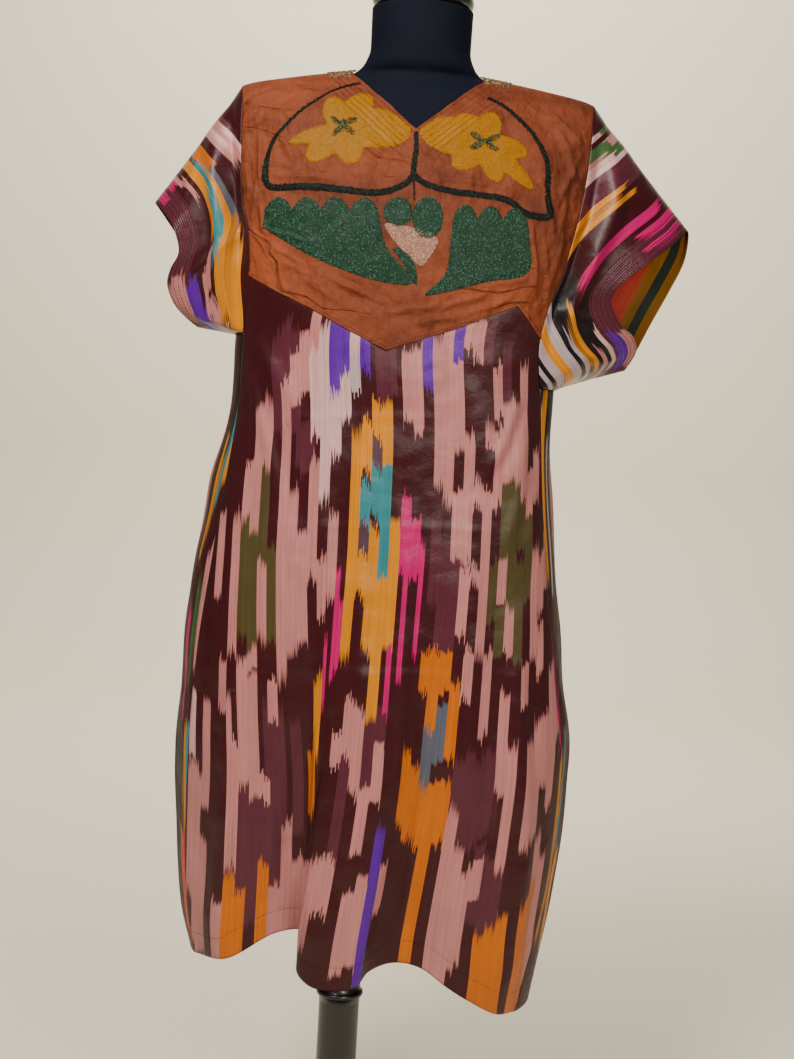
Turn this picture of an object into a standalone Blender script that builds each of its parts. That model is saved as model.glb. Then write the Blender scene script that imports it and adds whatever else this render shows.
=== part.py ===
"""Embroidered silk dress on a limbless dress form.

Metres, +Z up, the wearer's front towards -Y. The origin is the centre of the stand's underside, on the floor.
The dress is eight cloth walls that follow one body surface: horizontal sections, each a rounded oval whose
sizes come from BODY. The skirt leaves that surface towards the hem, where HEM_FRONT gives its folds.
"""

import math

import bmesh
import bpy
import numpy as np

# Cloth
CLOTH = 0.0012
SEAM_GAP = 0.0003
ROUND = 2.5

# Shoulders, neckline and yokes
NECK_X = 0.033
NECK_HALF = 0.085
V_POINT = (0.028, 1.315)
BACK_NECK_Z = 1.350
BACK_YOKE_Z = 1.190
TIP_Z = 1.3612
NECK_SHARE = 0.58
NECK_SPREAD = 1.9

# Skirt
FOLD_TOP = 0.84
FOLD_EASE = 1.25
BACK_FOLDS = 3
BACK_FOLD_DEPTH = 0.016
BACK_HEM_LEFT = 0.338
BACK_HEM_RIGHT = 0.305
BACK_HEM_RISE = 0.008

# Sleeves
UNDERARM_Z = {-1: 1.075, 1: 1.030}
ARMHOLE_MID_Z = 1.215
ARMHOLE_HALF_DEPTH = 0.070
ARMHOLE_HALF_HEIGHT = 0.150
UNDERARM_STAND_OFF = CLOTH / 2 + SEAM_GAP
UNDERARM_EASE = 0.030

# The two soft folds round each sleeve: depth, place and width as shares of the way to the cuff, and the share
# of the way round that they cover
SLEEVE_VALLEY = 0.010
VALLEY_AT = 0.14
VALLEY_WIDTH = 0.08
SLEEVE_CREST = 0.012
CREST_AT = 0.36
CREST_WIDTH = 0.12
FOLDS_ROUND = 0.84
FOLDS_FADE = 1.5

# Dress form and stand
TORSO_BOTTOM = 0.680
NECK_TOP = 1.460
CAP_RADIUS = 0.0595
CAP_HEIGHT = 0.036
CAP_EDGE = 0.010
CAP_CROWN = [(0.020, 0.035), (0.036, 0.031), (0.046, 0.020)]
POST_RADIUS = 0.0245
POST_RING_RADIUS = 0.0285
POST_RING_Z = 0.288
POST_FLARE = [(0.030, 0.070), (0.040, 0.045)]
POST_FLARE_TOP = 0.120
POST_FOOT_RADIUS = 0.043
BASE_RADIUS = 0.170
BASE_HEIGHT = 0.026
BASE_FLAT = 0.060
BASE_SLOPE = (0.030, 0.006)
BASE_EDGE = 0.006
BASE_EDGE_DROP = 0.014
BASE_CHAMFER = 0.002
TOUCH_GAP = 0.0003

# Body surface of the dress: centre and half width in x, depths in front and behind, at each height
BODY_COLUMNS = ("z", "centre", "half", "front", "back")
BODY = [
    (0.270, 0.0250, 0.2000, 0.124, 0.122),
    (0.320, 0.0250, 0.2070, 0.126, 0.124),
    (0.400, 0.0228, 0.2208, 0.130, 0.130),
    (0.500, 0.0228, 0.2300, 0.134, 0.134),
    (0.600, 0.0229, 0.2340, 0.136, 0.136),
    (0.700, 0.0170, 0.2255, 0.135, 0.134),
    (0.800, 0.0145, 0.2145, 0.132, 0.130),
    (0.900, 0.0165, 0.2005, 0.129, 0.124),
    (1.000, 0.0228, 0.1885, 0.127, 0.119),
    (1.070, 0.0245, 0.1890, 0.127, 0.117),
    (1.150, 0.0300, 0.2030, 0.125, 0.116),
    (1.250, 0.0330, 0.2250, 0.111, 0.110),
    (1.320, 0.0330, 0.2320, 0.090, 0.094),
    (1.345, 0.0330, 0.2260, 0.076, 0.080),
    (1.3612, 0.0330, 0.2040, 0.062, 0.066),
    (1.3720, 0.0330, 0.1550, 0.051, 0.054),
    (1.3835, 0.0330, 0.0850, 0.036, 0.040),
    (1.3900, 0.0330, 0.0400, 0.026, 0.030),
]

# Side seams and, above the underarm, the armhole: x on each side
EDGE_COLUMNS = ("z", "left", "right")
EDGES = [
    (0.270, -0.166, 0.204),
    (0.350, -0.178, 0.219),
    (0.400, -0.188, 0.230),
    (0.480, -0.193, 0.240),
    (0.580, -0.192, 0.2435),
    (0.700, -0.186, 0.230),
    (0.810, -0.173, 0.214),
    (0.900, -0.162, 0.203),
    (1.000, -0.152, 0.194),
    (1.075, -0.150, 0.186),
    (1.117, -0.148, 0.193),
    (1.156, -0.1455, 0.207),
    (1.190, -0.149, 0.215),
    (1.2256, -0.158, 0.2225),
    (1.270, -0.1625, 0.229),
    (1.304, -0.164, 0.232),
    (1.345, -0.167, 0.2345),
    (TIP_Z, -0.171, 0.237),
]

# Lower edge of the front yoke: share of the way across the front, and height
YOKE_EDGE_COLUMNS = ("across", "z")
YOKE_EDGE = [
    (0.00, 1.141),
    (0.25, 1.106),
    (0.50, 1.0635),
    (0.70, 1.0905),
    (0.88, 1.122),
    (1.00, 1.088),
]

# The front's hem in x, y, z, from the wearer's right to left: two ridges, the deep fold beside the centre,
# a valley, a ridge
HEM_FRONT = [
    (-0.172, -0.055, 0.345),
    (-0.130, -0.100, 0.356),
    (-0.080, -0.096, 0.386),
    (-0.044, -0.088, 0.391),
    (-0.033, -0.098, 0.380),
    (-0.049, -0.122, 0.358),
    (-0.030, -0.140, 0.343),
    (0.003, -0.146, 0.343),
    (0.022, -0.138, 0.347),
    (0.034, -0.122, 0.358),
    (0.060, -0.106, 0.364),
    (0.092, -0.108, 0.361),
    (0.122, -0.112, 0.343),
    (0.150, -0.110, 0.326),
    (0.183, -0.094, 0.306),
    (0.209, -0.058, 0.297),
]

# Cuff edges in x, y, z, from the top of the sleeve round by the front
CUFF_LEFT = [
    (-0.2685, 0.000, 1.223),
    (-0.252, -0.030, 1.208),
    (-0.238, -0.048, 1.189),
    (-0.231, -0.052, 1.163),
    (-0.240, -0.048, 1.143),
    (-0.2435, -0.040, 1.125),
    (-0.234, -0.028, 1.103),
    (-0.211, -0.006, 1.081),
    (-0.216, 0.022, 1.090),
    (-0.228, 0.044, 1.118),
    (-0.232, 0.054, 1.150),
    (-0.243, 0.044, 1.183),
    (-0.259, 0.022, 1.208),
]
CUFF_RIGHT = [
    (0.359, 0.000, 1.225),
    (0.337, -0.034, 1.205),
    (0.309, -0.054, 1.182),
    (0.281, -0.062, 1.158),
    (0.267, -0.058, 1.136),
    (0.279, -0.046, 1.112),
    (0.298, -0.032, 1.097),
    (0.305, -0.016, 1.080),
    (0.296, 0.004, 1.058),
    (0.309, 0.030, 1.076),
    (0.330, 0.048, 1.118),
    (0.350, 0.052, 1.158),
    (0.364, 0.036, 1.196),
]

# Dress form: centre, half width and depths at each height, and how square its oval is
FORM_COLUMNS = ("z", "centre", "half", "front", "back", "round")
FORM = [
    (0.680, 0.012, 0.140, 0.095, 0.098, 2.2),
    (0.700, 0.012, 0.154, 0.105, 0.108, 2.2),
    (0.780, 0.013, 0.166, 0.111, 0.115, 2.2),
    (0.880, 0.016, 0.148, 0.100, 0.100, 2.2),
    (0.980, 0.020, 0.122, 0.088, 0.085, 2.1),
    (1.060, 0.023, 0.136, 0.100, 0.090, 2.1),
    (1.140, 0.027, 0.152, 0.113, 0.098, 2.2),
    (1.200, 0.030, 0.163, 0.106, 0.098, 2.3),
    (1.260, 0.033, 0.182, 0.092, 0.092, 2.3),
    (1.310, 0.033, 0.190, 0.077, 0.081, 2.2),
    (1.335, 0.033, 0.188, 0.066, 0.070, 2.0),
    (1.350, 0.033, 0.183, 0.059, 0.063, 1.85),
    (1.361, 0.033, 0.173, 0.055, 0.058, 1.7),
    (1.3718, 0.033, 0.149, 0.048, 0.050, 1.5),
    (1.3794, 0.033, 0.103, 0.046, 0.048, 1.5),
    (1.3820, 0.033, 0.084, 0.046, 0.048, 1.5),
    (1.3880, 0.033, 0.0715, 0.050, 0.052, 1.8),
    (1.3960, 0.033, 0.0645, 0.053, 0.055, 2.0),
    (1.4150, 0.033, 0.0585, 0.055, 0.056, 2.0),
    (1.4600, 0.033, 0.0590, 0.057, 0.057, 2.0),
]

# Counts of the meshes
COLUMNS = np.concatenate([np.linspace(0.0, 0.25, 6), np.linspace(0.28, 0.46, 8), np.linspace(0.50, 1.0, 13)])
SIDE_COLUMNS = np.linspace(0.0, 1.0, 5)
YOKE_ROWS = 10
YOKE_ROW_SPREAD = 2.0
CHEST_ROWS = 3
SKIRT_ROWS = 17
SLEEVE_RINGS = (0.0, 0.10, 0.22, 0.38, 0.56, 0.78, 1.0)
FORM_SEGMENTS = 28
FORM_ROWS = 12
FORM_SHOULDER_Z = 1.26
TURNED_STEPS = 32
SLOPE_STEP = 1e-4


def column(table, columns, name):
    return np.array(table, float)[:, columns.index(name)]


def read(table, columns, name, at):
    """A smooth curve through one column of a table, read at the first column's value; it never overshoots."""
    x = column(table, columns, columns[0])
    y = column(table, columns, name)
    step = np.diff(x)
    slope = np.diff(y) / step
    tangent = np.zeros_like(y)
    before, after = slope[:-1], slope[1:]
    weight_before = 2 * step[1:] + step[:-1]
    weight_after = step[1:] + 2 * step[:-1]
    turning = before * after <= 0
    safe_before = np.where(turning, 1.0, before)
    safe_after = np.where(turning, 1.0, after)
    mean = (weight_before + weight_after) / (weight_before / safe_before + weight_after / safe_after)
    tangent[1:-1] = np.where(turning, 0.0, mean)
    tangent[0], tangent[-1] = slope[0], slope[-1]
    at = np.clip(np.asarray(at, float), x[0], x[-1])
    k = np.clip(np.searchsorted(x, at, side="right") - 1, 0, len(x) - 2)
    t = (at - x[k]) / step[k]
    rise = t * t * (3 - 2 * t)
    return (
        y[k] * (1 - rise)
        + y[k + 1] * rise
        + step[k] * (tangent[k] * t * (1 - t) ** 2 - tangent[k + 1] * t * t * (1 - t))
    )


def body(name, z):
    return read(BODY, BODY_COLUMNS, name, z)


def seam_x(hand, z):
    """x of the side seam or armhole on the left (-1) or right (1)."""
    return read(EDGES, EDGE_COLUMNS, "left" if hand < 0 else "right", z)


def surface_y(face, x, z):
    """Depth of the body surface in front (-1) or behind (1)."""
    share = np.clip(np.abs(x - body("centre", z)) / body("half", z), 0.0, 1.0)
    depth = body("front" if face < 0 else "back", z)
    return face * depth * (1 - share**ROUND) ** (1 / ROUND)


def body_normal(points):
    """Outward direction of the body surface, from the slope of its section rule."""

    def level(p):
        z = p[..., 2]
        wide = np.abs(p[..., 0] - body("centre", z)) / body("half", z)
        depth = np.where(p[..., 1] < 0, body("front", z), body("back", z))
        return wide**ROUND + (np.abs(p[..., 1]) / depth) ** ROUND

    slope = np.zeros_like(points)
    for axis in range(3):
        shift = np.zeros(3)
        shift[axis] = SLOPE_STEP
        slope[..., axis] = level(points + shift) - level(points - shift)
    return slope / np.linalg.norm(slope, axis=-1, keepdims=True)


def armhole_normal(points):
    """Outward direction round an armhole, with no part of it along the sleeve."""
    out = np.zeros_like(points)
    out[..., 1] = points[..., 1] / ARMHOLE_HALF_DEPTH**2
    out[..., 2] = (points[..., 2] - ARMHOLE_MID_Z) / ARMHOLE_HALF_HEIGHT**2
    return out / np.linalg.norm(out, axis=-1, keepdims=True)


def along(line, shares):
    """Points at shares of a line's length."""
    length = np.concatenate([[0.0], np.cumsum(np.linalg.norm(np.diff(line, axis=0), axis=1))])
    at = np.asarray(shares, float) * length[-1]
    return np.stack([np.interp(at, length, line[:, i]) for i in range(line.shape[1])], axis=-1)


def spline(points, closed=False, fine=12):
    """A smooth line through points."""
    p = np.array(points, float)
    if closed:
        p = np.concatenate([p[-1:], p, p[:2]])
    else:
        p = np.concatenate([2 * p[:1] - p[1:2], p, 2 * p[-1:] - p[-2:-1]])
    out = []
    for k in range(len(p) - 3):
        a, b, c, d = p[k : k + 4]
        for t in np.arange(fine) / fine:
            curve = (2 * a - 5 * b + 4 * c - d) * t**2 + (3 * b - 3 * c + d - a) * t**3
            out.append(0.5 * (2 * b + (c - a) * t + curve))
    out.append(p[-2])
    return np.array(out)


def section_angle(hand, z):
    """Angle on the oval at which the seam lies."""
    share = np.clip(np.abs(seam_x(hand, z) - body("centre", z)) / body("half", z), 0.0, 1.0)
    return math.asin(float(share) ** (ROUND / 2))


def section_arc(face_or_side, hand, z, fine=96):
    """One stretch of the section at z: across the front or back, or round a side from front to back."""
    if face_or_side == "side":
        edge = section_angle(hand, z)
        turn = np.linspace(edge, math.pi - edge, fine)
        x = body("centre", z) + hand * body("half", z) * np.abs(np.sin(turn)) ** (2 / ROUND)
        depth = np.where(turn < math.pi / 2, body("front", z), body("back", z))
        y = -np.sign(np.cos(turn)) * depth * np.abs(np.cos(turn)) ** (2 / ROUND)
    else:
        turn = np.linspace(-section_angle(-1, z), section_angle(1, z), fine)
        x = body("centre", z) + body("half", z) * np.sign(np.sin(turn)) * np.abs(np.sin(turn)) ** (2 / ROUND)
        y = surface_y(face_or_side, x, z)
    return np.stack([x, y], axis=-1)


def flat_point(face_or_side, hand, across, z):
    """The unfolded surface at a share of the way across its stretch."""
    x, y = along(section_arc(face_or_side, hand, z), [across])[0]
    return np.array([x, y, z])


def fold_weight(z, hem_z):
    return float(np.clip((FOLD_TOP - z) / (FOLD_TOP - hem_z), 0.0, 1.0)) ** FOLD_EASE


def front_hem(across):
    return along(spline(HEM_FRONT), [across])[0]


def back_hem(across):
    z = BACK_HEM_LEFT + (BACK_HEM_RIGHT - BACK_HEM_LEFT) * across
    z -= BACK_HEM_RISE * math.sin(math.pi * across) * math.cos(2 * math.pi * BACK_FOLDS * across)
    point = flat_point(1, 0, across, z)
    point[1] += BACK_FOLD_DEPTH * math.sin(math.pi * across) * math.cos(2 * math.pi * BACK_FOLDS * across)
    return point


def side_hem(hand, across):
    """Runs from the front's corner to the back's, round the side."""
    end = 0.0 if hand < 0 else 1.0
    corners = []
    for corner, face, hem in ((0.0, -1, front_hem(end)), (1.0, 1, back_hem(end))):
        corners.append((hem - flat_point("side", hand, corner, hem[2]), hem[2]))
    z = corners[0][1] * (1 - across) + corners[1][1] * across
    return flat_point("side", hand, across, z) + corners[0][0] * (1 - across) + corners[1][0] * across


def chest_heights(top, underarm):
    """Heights of a panel's rows from its top edge to the underarm, which its sleeve's armhole shares."""
    return np.linspace(top, underarm, CHEST_ROWS + 1)


def skirt_grid(stretch, hand, columns, hem, top=None):
    """Points of a panel from its top edge, if it reaches above the underarm, down to its hem."""
    grid = []
    for across in columns:
        end = hem(across)
        drop = end - flat_point(stretch, hand, across, end[2])
        side = hand if hand else 2 * across - 1
        underarm = UNDERARM_Z[-1] + (UNDERARM_Z[1] - UNDERARM_Z[-1]) * (side + 1) / 2
        heights = np.linspace(underarm, end[2], SKIRT_ROWS + 1)
        if top is not None:
            heights = np.concatenate([chest_heights(top(across), underarm)[:-1], heights])
        grid.append([flat_point(stretch, hand, across, z) + drop * fold_weight(z, end[2]) for z in heights])
    return np.array(grid).transpose(1, 0, 2)


def grid_normals(grid, around=False):
    """Outward directions worked out from neighbouring points."""
    if around:
        across = np.roll(grid, -1, axis=1) - np.roll(grid, 1, axis=1)
    else:
        across = np.gradient(grid, axis=1)
    down = np.gradient(grid, axis=0)
    out = np.cross(down, across)
    return out / np.linalg.norm(out, axis=-1, keepdims=True)


def pull_in(grid, left=True, right=True, top=False):
    """Moves a panel's edges back from its seams by half the seam gap."""
    if left:
        step = grid[:, 1] - grid[:, 0]
        grid[:, 0] += step / np.linalg.norm(step, axis=-1, keepdims=True) * SEAM_GAP / 2
    if right:
        step = grid[:, -2] - grid[:, -1]
        grid[:, -1] += step / np.linalg.norm(step, axis=-1, keepdims=True) * SEAM_GAP / 2
    if top:
        step = grid[1] - grid[0]
        grid[0] += step / np.linalg.norm(step, axis=-1, keepdims=True) * SEAM_GAP / 2
    return grid


def paint(name, colour, roughness, metallic=0.0):
    material = bpy.data.materials.new(name)
    material.use_nodes = True
    shader = material.node_tree.nodes["Principled BSDF"]
    shader.inputs["Base Color"].default_value = (*colour, 1.0)
    shader.inputs["Roughness"].default_value = roughness
    shader.inputs["Metallic"].default_value = metallic
    return material


def add_mesh(name, verts, faces, material):
    mesh = bpy.data.meshes.new(name)
    mesh.from_pydata([tuple(map(float, v)) for v in verts], [], faces)
    cage = bmesh.new()
    cage.from_mesh(mesh)
    bmesh.ops.recalc_face_normals(cage, faces=cage.faces)
    if cage.calc_volume(signed=True) < 0:
        bmesh.ops.reverse_faces(cage, faces=cage.faces)
    cage.to_mesh(mesh)
    cage.free()
    mesh.materials.append(material)
    mesh.shade_smooth()
    thing = bpy.data.objects.new(name, mesh)
    PART.objects.link(thing)


def cloth_wall(name, middle, normals, material, around=False):
    """A wall of cloth: the middle surface moved half a thickness out and in, and joined round its edges."""
    rows, cols = middle.shape[:2]
    layers = [middle + normals * CLOTH / 2, middle - normals * CLOTH / 2]
    verts = np.concatenate([layer.reshape(-1, 3) for layer in layers])

    def at(layer, r, c):
        return layer * rows * cols + r * cols + c % cols

    faces = []
    spans = cols if around else cols - 1
    for r in range(rows - 1):
        for c in range(spans):
            for layer in (0, 1):
                a, b = at(layer, r, c), at(layer, r, c + 1)
                d, e = at(layer, r + 1, c), at(layer, r + 1, c + 1)
                faces.append((a, b, e) if layer else (a, e, b))
                faces.append((a, e, d) if layer else (a, d, e))
    for c in range(spans):
        for r in (0, rows - 1):
            faces.append((at(0, r, c), at(0, r, c + 1), at(1, r, c + 1)))
            faces.append((at(0, r, c), at(1, r, c + 1), at(1, r, c)))
    if not around:
        for r in range(rows - 1):
            for c in (0, cols - 1):
                faces.append((at(0, r, c), at(0, r + 1, c), at(1, r + 1, c)))
                faces.append((at(0, r, c), at(1, r + 1, c), at(1, r, c)))
    add_mesh(name, verts, faces, material)


def yoke_edge_z(across):
    share = column(YOKE_EDGE, YOKE_EDGE_COLUMNS, "across")
    return float(np.interp(across, share, column(YOKE_EDGE, YOKE_EDGE_COLUMNS, "z")))


def ridge_z(half):
    """Height of the shoulder line at a distance from the neck's centre."""
    z = np.linspace(TIP_Z, BODY[-1][0], 400)
    return float(np.interp(-half, -body("half", z), z))


def seam_normals(grid, normals):
    """Both sides of a seam share one outward direction, so their edges stay parallel."""
    normals[0] = body_normal(grid[0])
    for c, hand in ((0, -1), (-1, 1)):
        above = grid[:, c, 2] > UNDERARM_Z[hand] + SEAM_GAP
        normals[:, c] = np.where(above[:, None], armhole_normal(grid[:, c]), body_normal(grid[:, c]))


def wide_panel(name, face, top, hem, material):
    grid = skirt_grid(face, 0, COLUMNS, hem, top)
    normals = grid_normals(grid) * -face
    seam_normals(grid, normals)
    cloth_wall(name, pull_in(grid, top=True), normals, material)


def side_panel(name, hand, material):
    grid = skirt_grid("side", hand, SIDE_COLUMNS, lambda across: side_hem(hand, across))
    normals = grid_normals(grid) * hand
    for edge in (np.s_[:, 0], np.s_[:, -1], np.s_[0]):
        normals[edge] = body_normal(grid[edge])
    cloth_wall(name, pull_in(grid, top=True), normals, material)


def armhole_heights(corner_z):
    """Heights of a yoke's rows down its armhole edge, close together at the shoulder."""
    return TIP_Z + (corner_z - TIP_Z) * (np.arange(YOKE_ROWS + 1) / YOKE_ROWS) ** YOKE_ROW_SPREAD


def yoke_grid(face, edge_z, neck_point):
    """Both halves of a yoke as one grid: each is drawn between its four edges, as seen from the front."""
    halves = []
    for hand in (-1, 1):
        across = sorted((a for a in COLUMNS if (a - 0.5) * hand >= -1e-9), key=lambda a: abs(a - 0.5))
        shares = [abs(2 * a - 1) for a in across]
        bottom = np.array([flat_point(face, 0, a, edge_z(a))[[0, 2]] for a in across])
        neck = np.array([NECK_X + hand * NECK_HALF, ridge_z(NECK_HALF)])
        top = []
        turn = min(shares, key=lambda share: abs(share - NECK_SHARE))
        for share in shares:
            if share < turn:
                t = 1 - (1 - share / turn) ** NECK_SPREAD
                top.append(np.array(neck_point) * (1 - t) + neck * t)
            else:
                t = (share - turn) / (1 - turn)
                half = NECK_HALF + (body("half", TIP_Z) - NECK_HALF) * t
                top.append(np.array([NECK_X + hand * half, ridge_z(half)]))
        top = np.array(top)
        arm_z = armhole_heights(bottom[-1, 1])
        down = (arm_z - TIP_Z) / (bottom[-1, 1] - TIP_Z)
        arm = np.stack([seam_x(hand, arm_z), arm_z], axis=-1)
        middle = top[0] + (bottom[0] - top[0]) * down[:, None]
        grid = np.zeros((YOKE_ROWS + 1, len(shares), 2))
        for r, t in enumerate(down):
            for c, s in enumerate(shares):
                top_corners = top[0] * (1 - s) + top[-1] * s
                bottom_corners = bottom[0] * (1 - s) + bottom[-1] * s
                grid[r, c] = (top[c] - top_corners) * (1 - t) + (bottom[c] - bottom_corners) * t
                grid[r, c] += middle[r] * (1 - s) + arm[r] * s
        halves.append(grid)
    flat = np.concatenate([halves[0][:, :0:-1], halves[1]], axis=1)
    y = surface_y(face, flat[..., 0], flat[..., 1])
    return np.stack([flat[..., 0], y, flat[..., 1]], axis=-1)


def yoke(name, face, edge_z, neck_point, material):
    grid = yoke_grid(face, edge_z, neck_point)
    normals = grid_normals(grid) * -face
    for edge in (np.s_[0], np.s_[-1]):
        normals[edge] = body_normal(grid[edge])
    for c in (0, -1):
        normals[:, c] = armhole_normal(grid[:, c])
    grid[0, :, 1] += face * SEAM_GAP / 2
    step = grid[-2] - grid[-1]
    grid[-1] += step / np.linalg.norm(step, axis=-1, keepdims=True) * SEAM_GAP / 2
    cloth_wall(name, pull_in(grid), normals, material)


def armhole_ring(hand):
    """The armhole's own points: down the front yoke and panel, under the arm, and up the back."""
    half = []
    end = (hand + 1) / 2
    for face, corner_z in ((-1, yoke_edge_z(end)), (1, BACK_YOKE_Z)):
        z = np.concatenate([armhole_heights(corner_z), chest_heights(corner_z, UNDERARM_Z[hand])[1:]])
        x = seam_x(hand, z)
        half.append(np.stack([x, surface_y(face, x, z), z], axis=-1))
    under = np.array([flat_point("side", hand, across, UNDERARM_Z[hand]) for across in SIDE_COLUMNS[1:-1]])
    return np.concatenate([half[0], under, half[1][:0:-1]])


def sleeve(name, hand, cuff, material):
    start = armhole_ring(hand)
    closed = np.concatenate([start, start[:1]])
    length = np.concatenate([[0.0], np.cumsum(np.linalg.norm(np.diff(closed, axis=0), axis=1))])
    shares = length[:-1] / length[-1]
    start_normals = armhole_normal(start)
    under = np.clip((UNDERARM_Z[hand] + UNDERARM_EASE - start[:, 2]) / UNDERARM_EASE, 0.0, 1.0)
    start[:, 0] += hand * (SEAM_GAP / 2 + UNDERARM_STAND_OFF * under)
    end = along(spline(cuff, closed=True), shares)
    grid = np.array([start * (1 - v) + end * v for v in SLEEVE_RINGS])
    out = grid_normals(grid, around=True) * -hand
    for r, v in enumerate(SLEEVE_RINGS[1:], 1):
        for c, u in enumerate(shares):
            window = max(0.0, math.sin(2 * math.pi * min(u, 1 - u) / FOLDS_ROUND)) ** FOLDS_FADE
            valley = SLEEVE_VALLEY * math.exp(-(((v - VALLEY_AT) / VALLEY_WIDTH) ** 2))
            crest = SLEEVE_CREST * math.exp(-(((v - CREST_AT) / CREST_WIDTH) ** 2))
            grid[r, c] += out[r, c] * window * (crest - valley)
    normals = grid_normals(grid, around=True) * -hand
    normals[0] = start_normals
    cloth_wall(name, grid, normals, material, around=True)


def form_torso(material):
    """The covered body of the form: ovals from the hips to the neck, closed by flat ends."""
    listed = column(FORM, FORM_COLUMNS, "z")
    body_rows = np.linspace(TORSO_BOTTOM, FORM_SHOULDER_Z, FORM_ROWS)
    heights = np.unique(np.concatenate([body_rows, listed[listed >= FORM_SHOULDER_Z]]))
    turns = np.arange(FORM_SEGMENTS) * 2 * math.pi / FORM_SEGMENTS
    rings = []
    for z in heights:
        half, front, back, roundness, centre = (
            float(read(FORM, FORM_COLUMNS, name, z)) for name in ("half", "front", "back", "round", "centre")
        )
        x = centre + half * np.sign(np.cos(turns)) * np.abs(np.cos(turns)) ** (2 / roundness)
        depth = np.where(np.sin(turns) < 0, front, back)
        y = depth * np.sign(np.sin(turns)) * np.abs(np.sin(turns)) ** (2 / roundness)
        rings.append(np.column_stack([x, y, np.full(len(turns), z)]))
    verts = np.concatenate(rings)
    n = FORM_SEGMENTS
    faces = [tuple(range(n))[::-1], tuple(range((len(rings) - 1) * n, len(rings) * n))]
    for r in range(len(rings) - 1):
        for c in range(n):
            d = (c + 1) % n
            faces.append((r * n + c, r * n + d, (r + 1) * n + d, (r + 1) * n + c))
    add_mesh("form_torso", verts, faces, material)


def turned(name, profile, place, material):
    """A lathe-turned piece: its profile runs from the axis at the top, down the outer side, to the axis."""
    mesh = bpy.data.meshes.new(name)
    edges = [(i, i + 1) for i in range(len(profile) - 1)]
    mesh.from_pydata([(radius, 0.0, z) for radius, z in profile], edges, [])
    mesh.materials.append(material)
    thing = bpy.data.objects.new(name, mesh)
    thing.location = place
    PART.objects.link(thing)
    screw = thing.modifiers.new("turn", "SCREW")
    screw.axis = "Z"
    screw.angle = 2 * math.pi
    screw.steps = TURNED_STEPS
    screw.render_steps = TURNED_STEPS
    screw.use_merge_vertices = True
    screw.merge_threshold = 0.0001
    screw.use_smooth_shade = True


def arc_profile(centre_r, centre_z, radius, start, stop, count=6):
    """Points on a quarter or half round of a turned profile, angles in degrees from straight out."""
    out = []
    for k in range(count + 1):
        angle = math.radians(start + (stop - start) * k / count)
        out.append((centre_r + radius * math.cos(angle), centre_z + radius * math.sin(angle)))
    return out


def stand(wood, cap_wood):
    cap = [(0.0, CAP_HEIGHT), *CAP_CROWN]
    cap += arc_profile(CAP_RADIUS - CAP_EDGE, CAP_EDGE, CAP_EDGE, 60, -90)
    cap.append((0.0, 0.0))
    turned("neck_cap", cap, (NECK_X, 0.0, NECK_TOP + TOUCH_GAP), cap_wood)

    post_top = TORSO_BOTTOM - TOUCH_GAP
    post_bottom = BASE_HEIGHT + TOUCH_GAP
    ring = POST_RING_RADIUS - POST_RADIUS
    post = [(0.0, post_top), (POST_RADIUS, post_top), (POST_RADIUS, POST_RING_Z + 3 * ring)]
    post += arc_profile(POST_RADIUS, POST_RING_Z, ring, 80, -80)
    post += [(POST_RADIUS, POST_RING_Z - 3 * ring), (POST_RADIUS, POST_FLARE_TOP), *POST_FLARE]
    post += [(POST_FOOT_RADIUS, post_bottom), (0.0, post_bottom)]
    turned("stand_post", post, (0.0, 0.0, 0.0), wood)

    base = [(0.0, BASE_HEIGHT), (BASE_FLAT, BASE_HEIGHT)]
    base += [(BASE_RADIUS - BASE_SLOPE[0], BASE_HEIGHT - BASE_SLOPE[1])]
    base += arc_profile(BASE_RADIUS - BASE_EDGE, BASE_HEIGHT - BASE_EDGE_DROP, BASE_EDGE, 80, 0, 4)
    base += [(BASE_RADIUS, BASE_CHAMFER), (BASE_RADIUS - BASE_CHAMFER, 0.0), (0.0, 0.0)]
    turned("stand_base", base, (0.0, 0.0, 0.0), wood)


for leftover in list(bpy.data.objects):
    bpy.data.objects.remove(leftover, do_unlink=True)

PART = bpy.data.collections.new("silk_dress_on_form")
bpy.context.scene.collection.children.link(PART)

ikat = paint("ikat satin", (0.24, 0.07, 0.08), 0.35)
rust = paint("rust silk", (0.39, 0.10, 0.05), 0.55)
jersey = paint("navy jersey", (0.012, 0.018, 0.03), 0.9)
black_wood = paint("black wood", (0.01, 0.01, 0.012), 0.35)
gloss_wood = paint("gloss black wood", (0.01, 0.01, 0.012), 0.15)

wide_panel("front", -1, yoke_edge_z, front_hem, ikat)
wide_panel("back", 1, lambda across: BACK_YOKE_Z, back_hem, ikat)
side_panel("side_panel_left", -1, ikat)
side_panel("side_panel_right", 1, ikat)
yoke("front_yoke", -1, yoke_edge_z, V_POINT, rust)
yoke("back_yoke", 1, lambda across: BACK_YOKE_Z, (NECK_X, BACK_NECK_Z), rust)
sleeve("sleeve_left", -1, CUFF_LEFT, ikat)
sleeve("sleeve_right", 1, CUFF_RIGHT, ikat)
form_torso(jersey)
stand(black_wood, gloss_wood)
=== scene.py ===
# %% [markdown]
# # Ikat silk dress with an embroidered yoke, on a dress form
# Each cloth piece is a thin shell on the same body surface as its solid, with its own creases laid on
# one by one. All sizes are metres in the part's frame: +Z up, the front towards -Y, the floor at Z = 0.

# %% Load the solids
import math

import bmesh
import bpy
import numpy as np
from mathutils import Matrix, Vector
from mathutils.geometry import delaunay_2d_cdt


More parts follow.
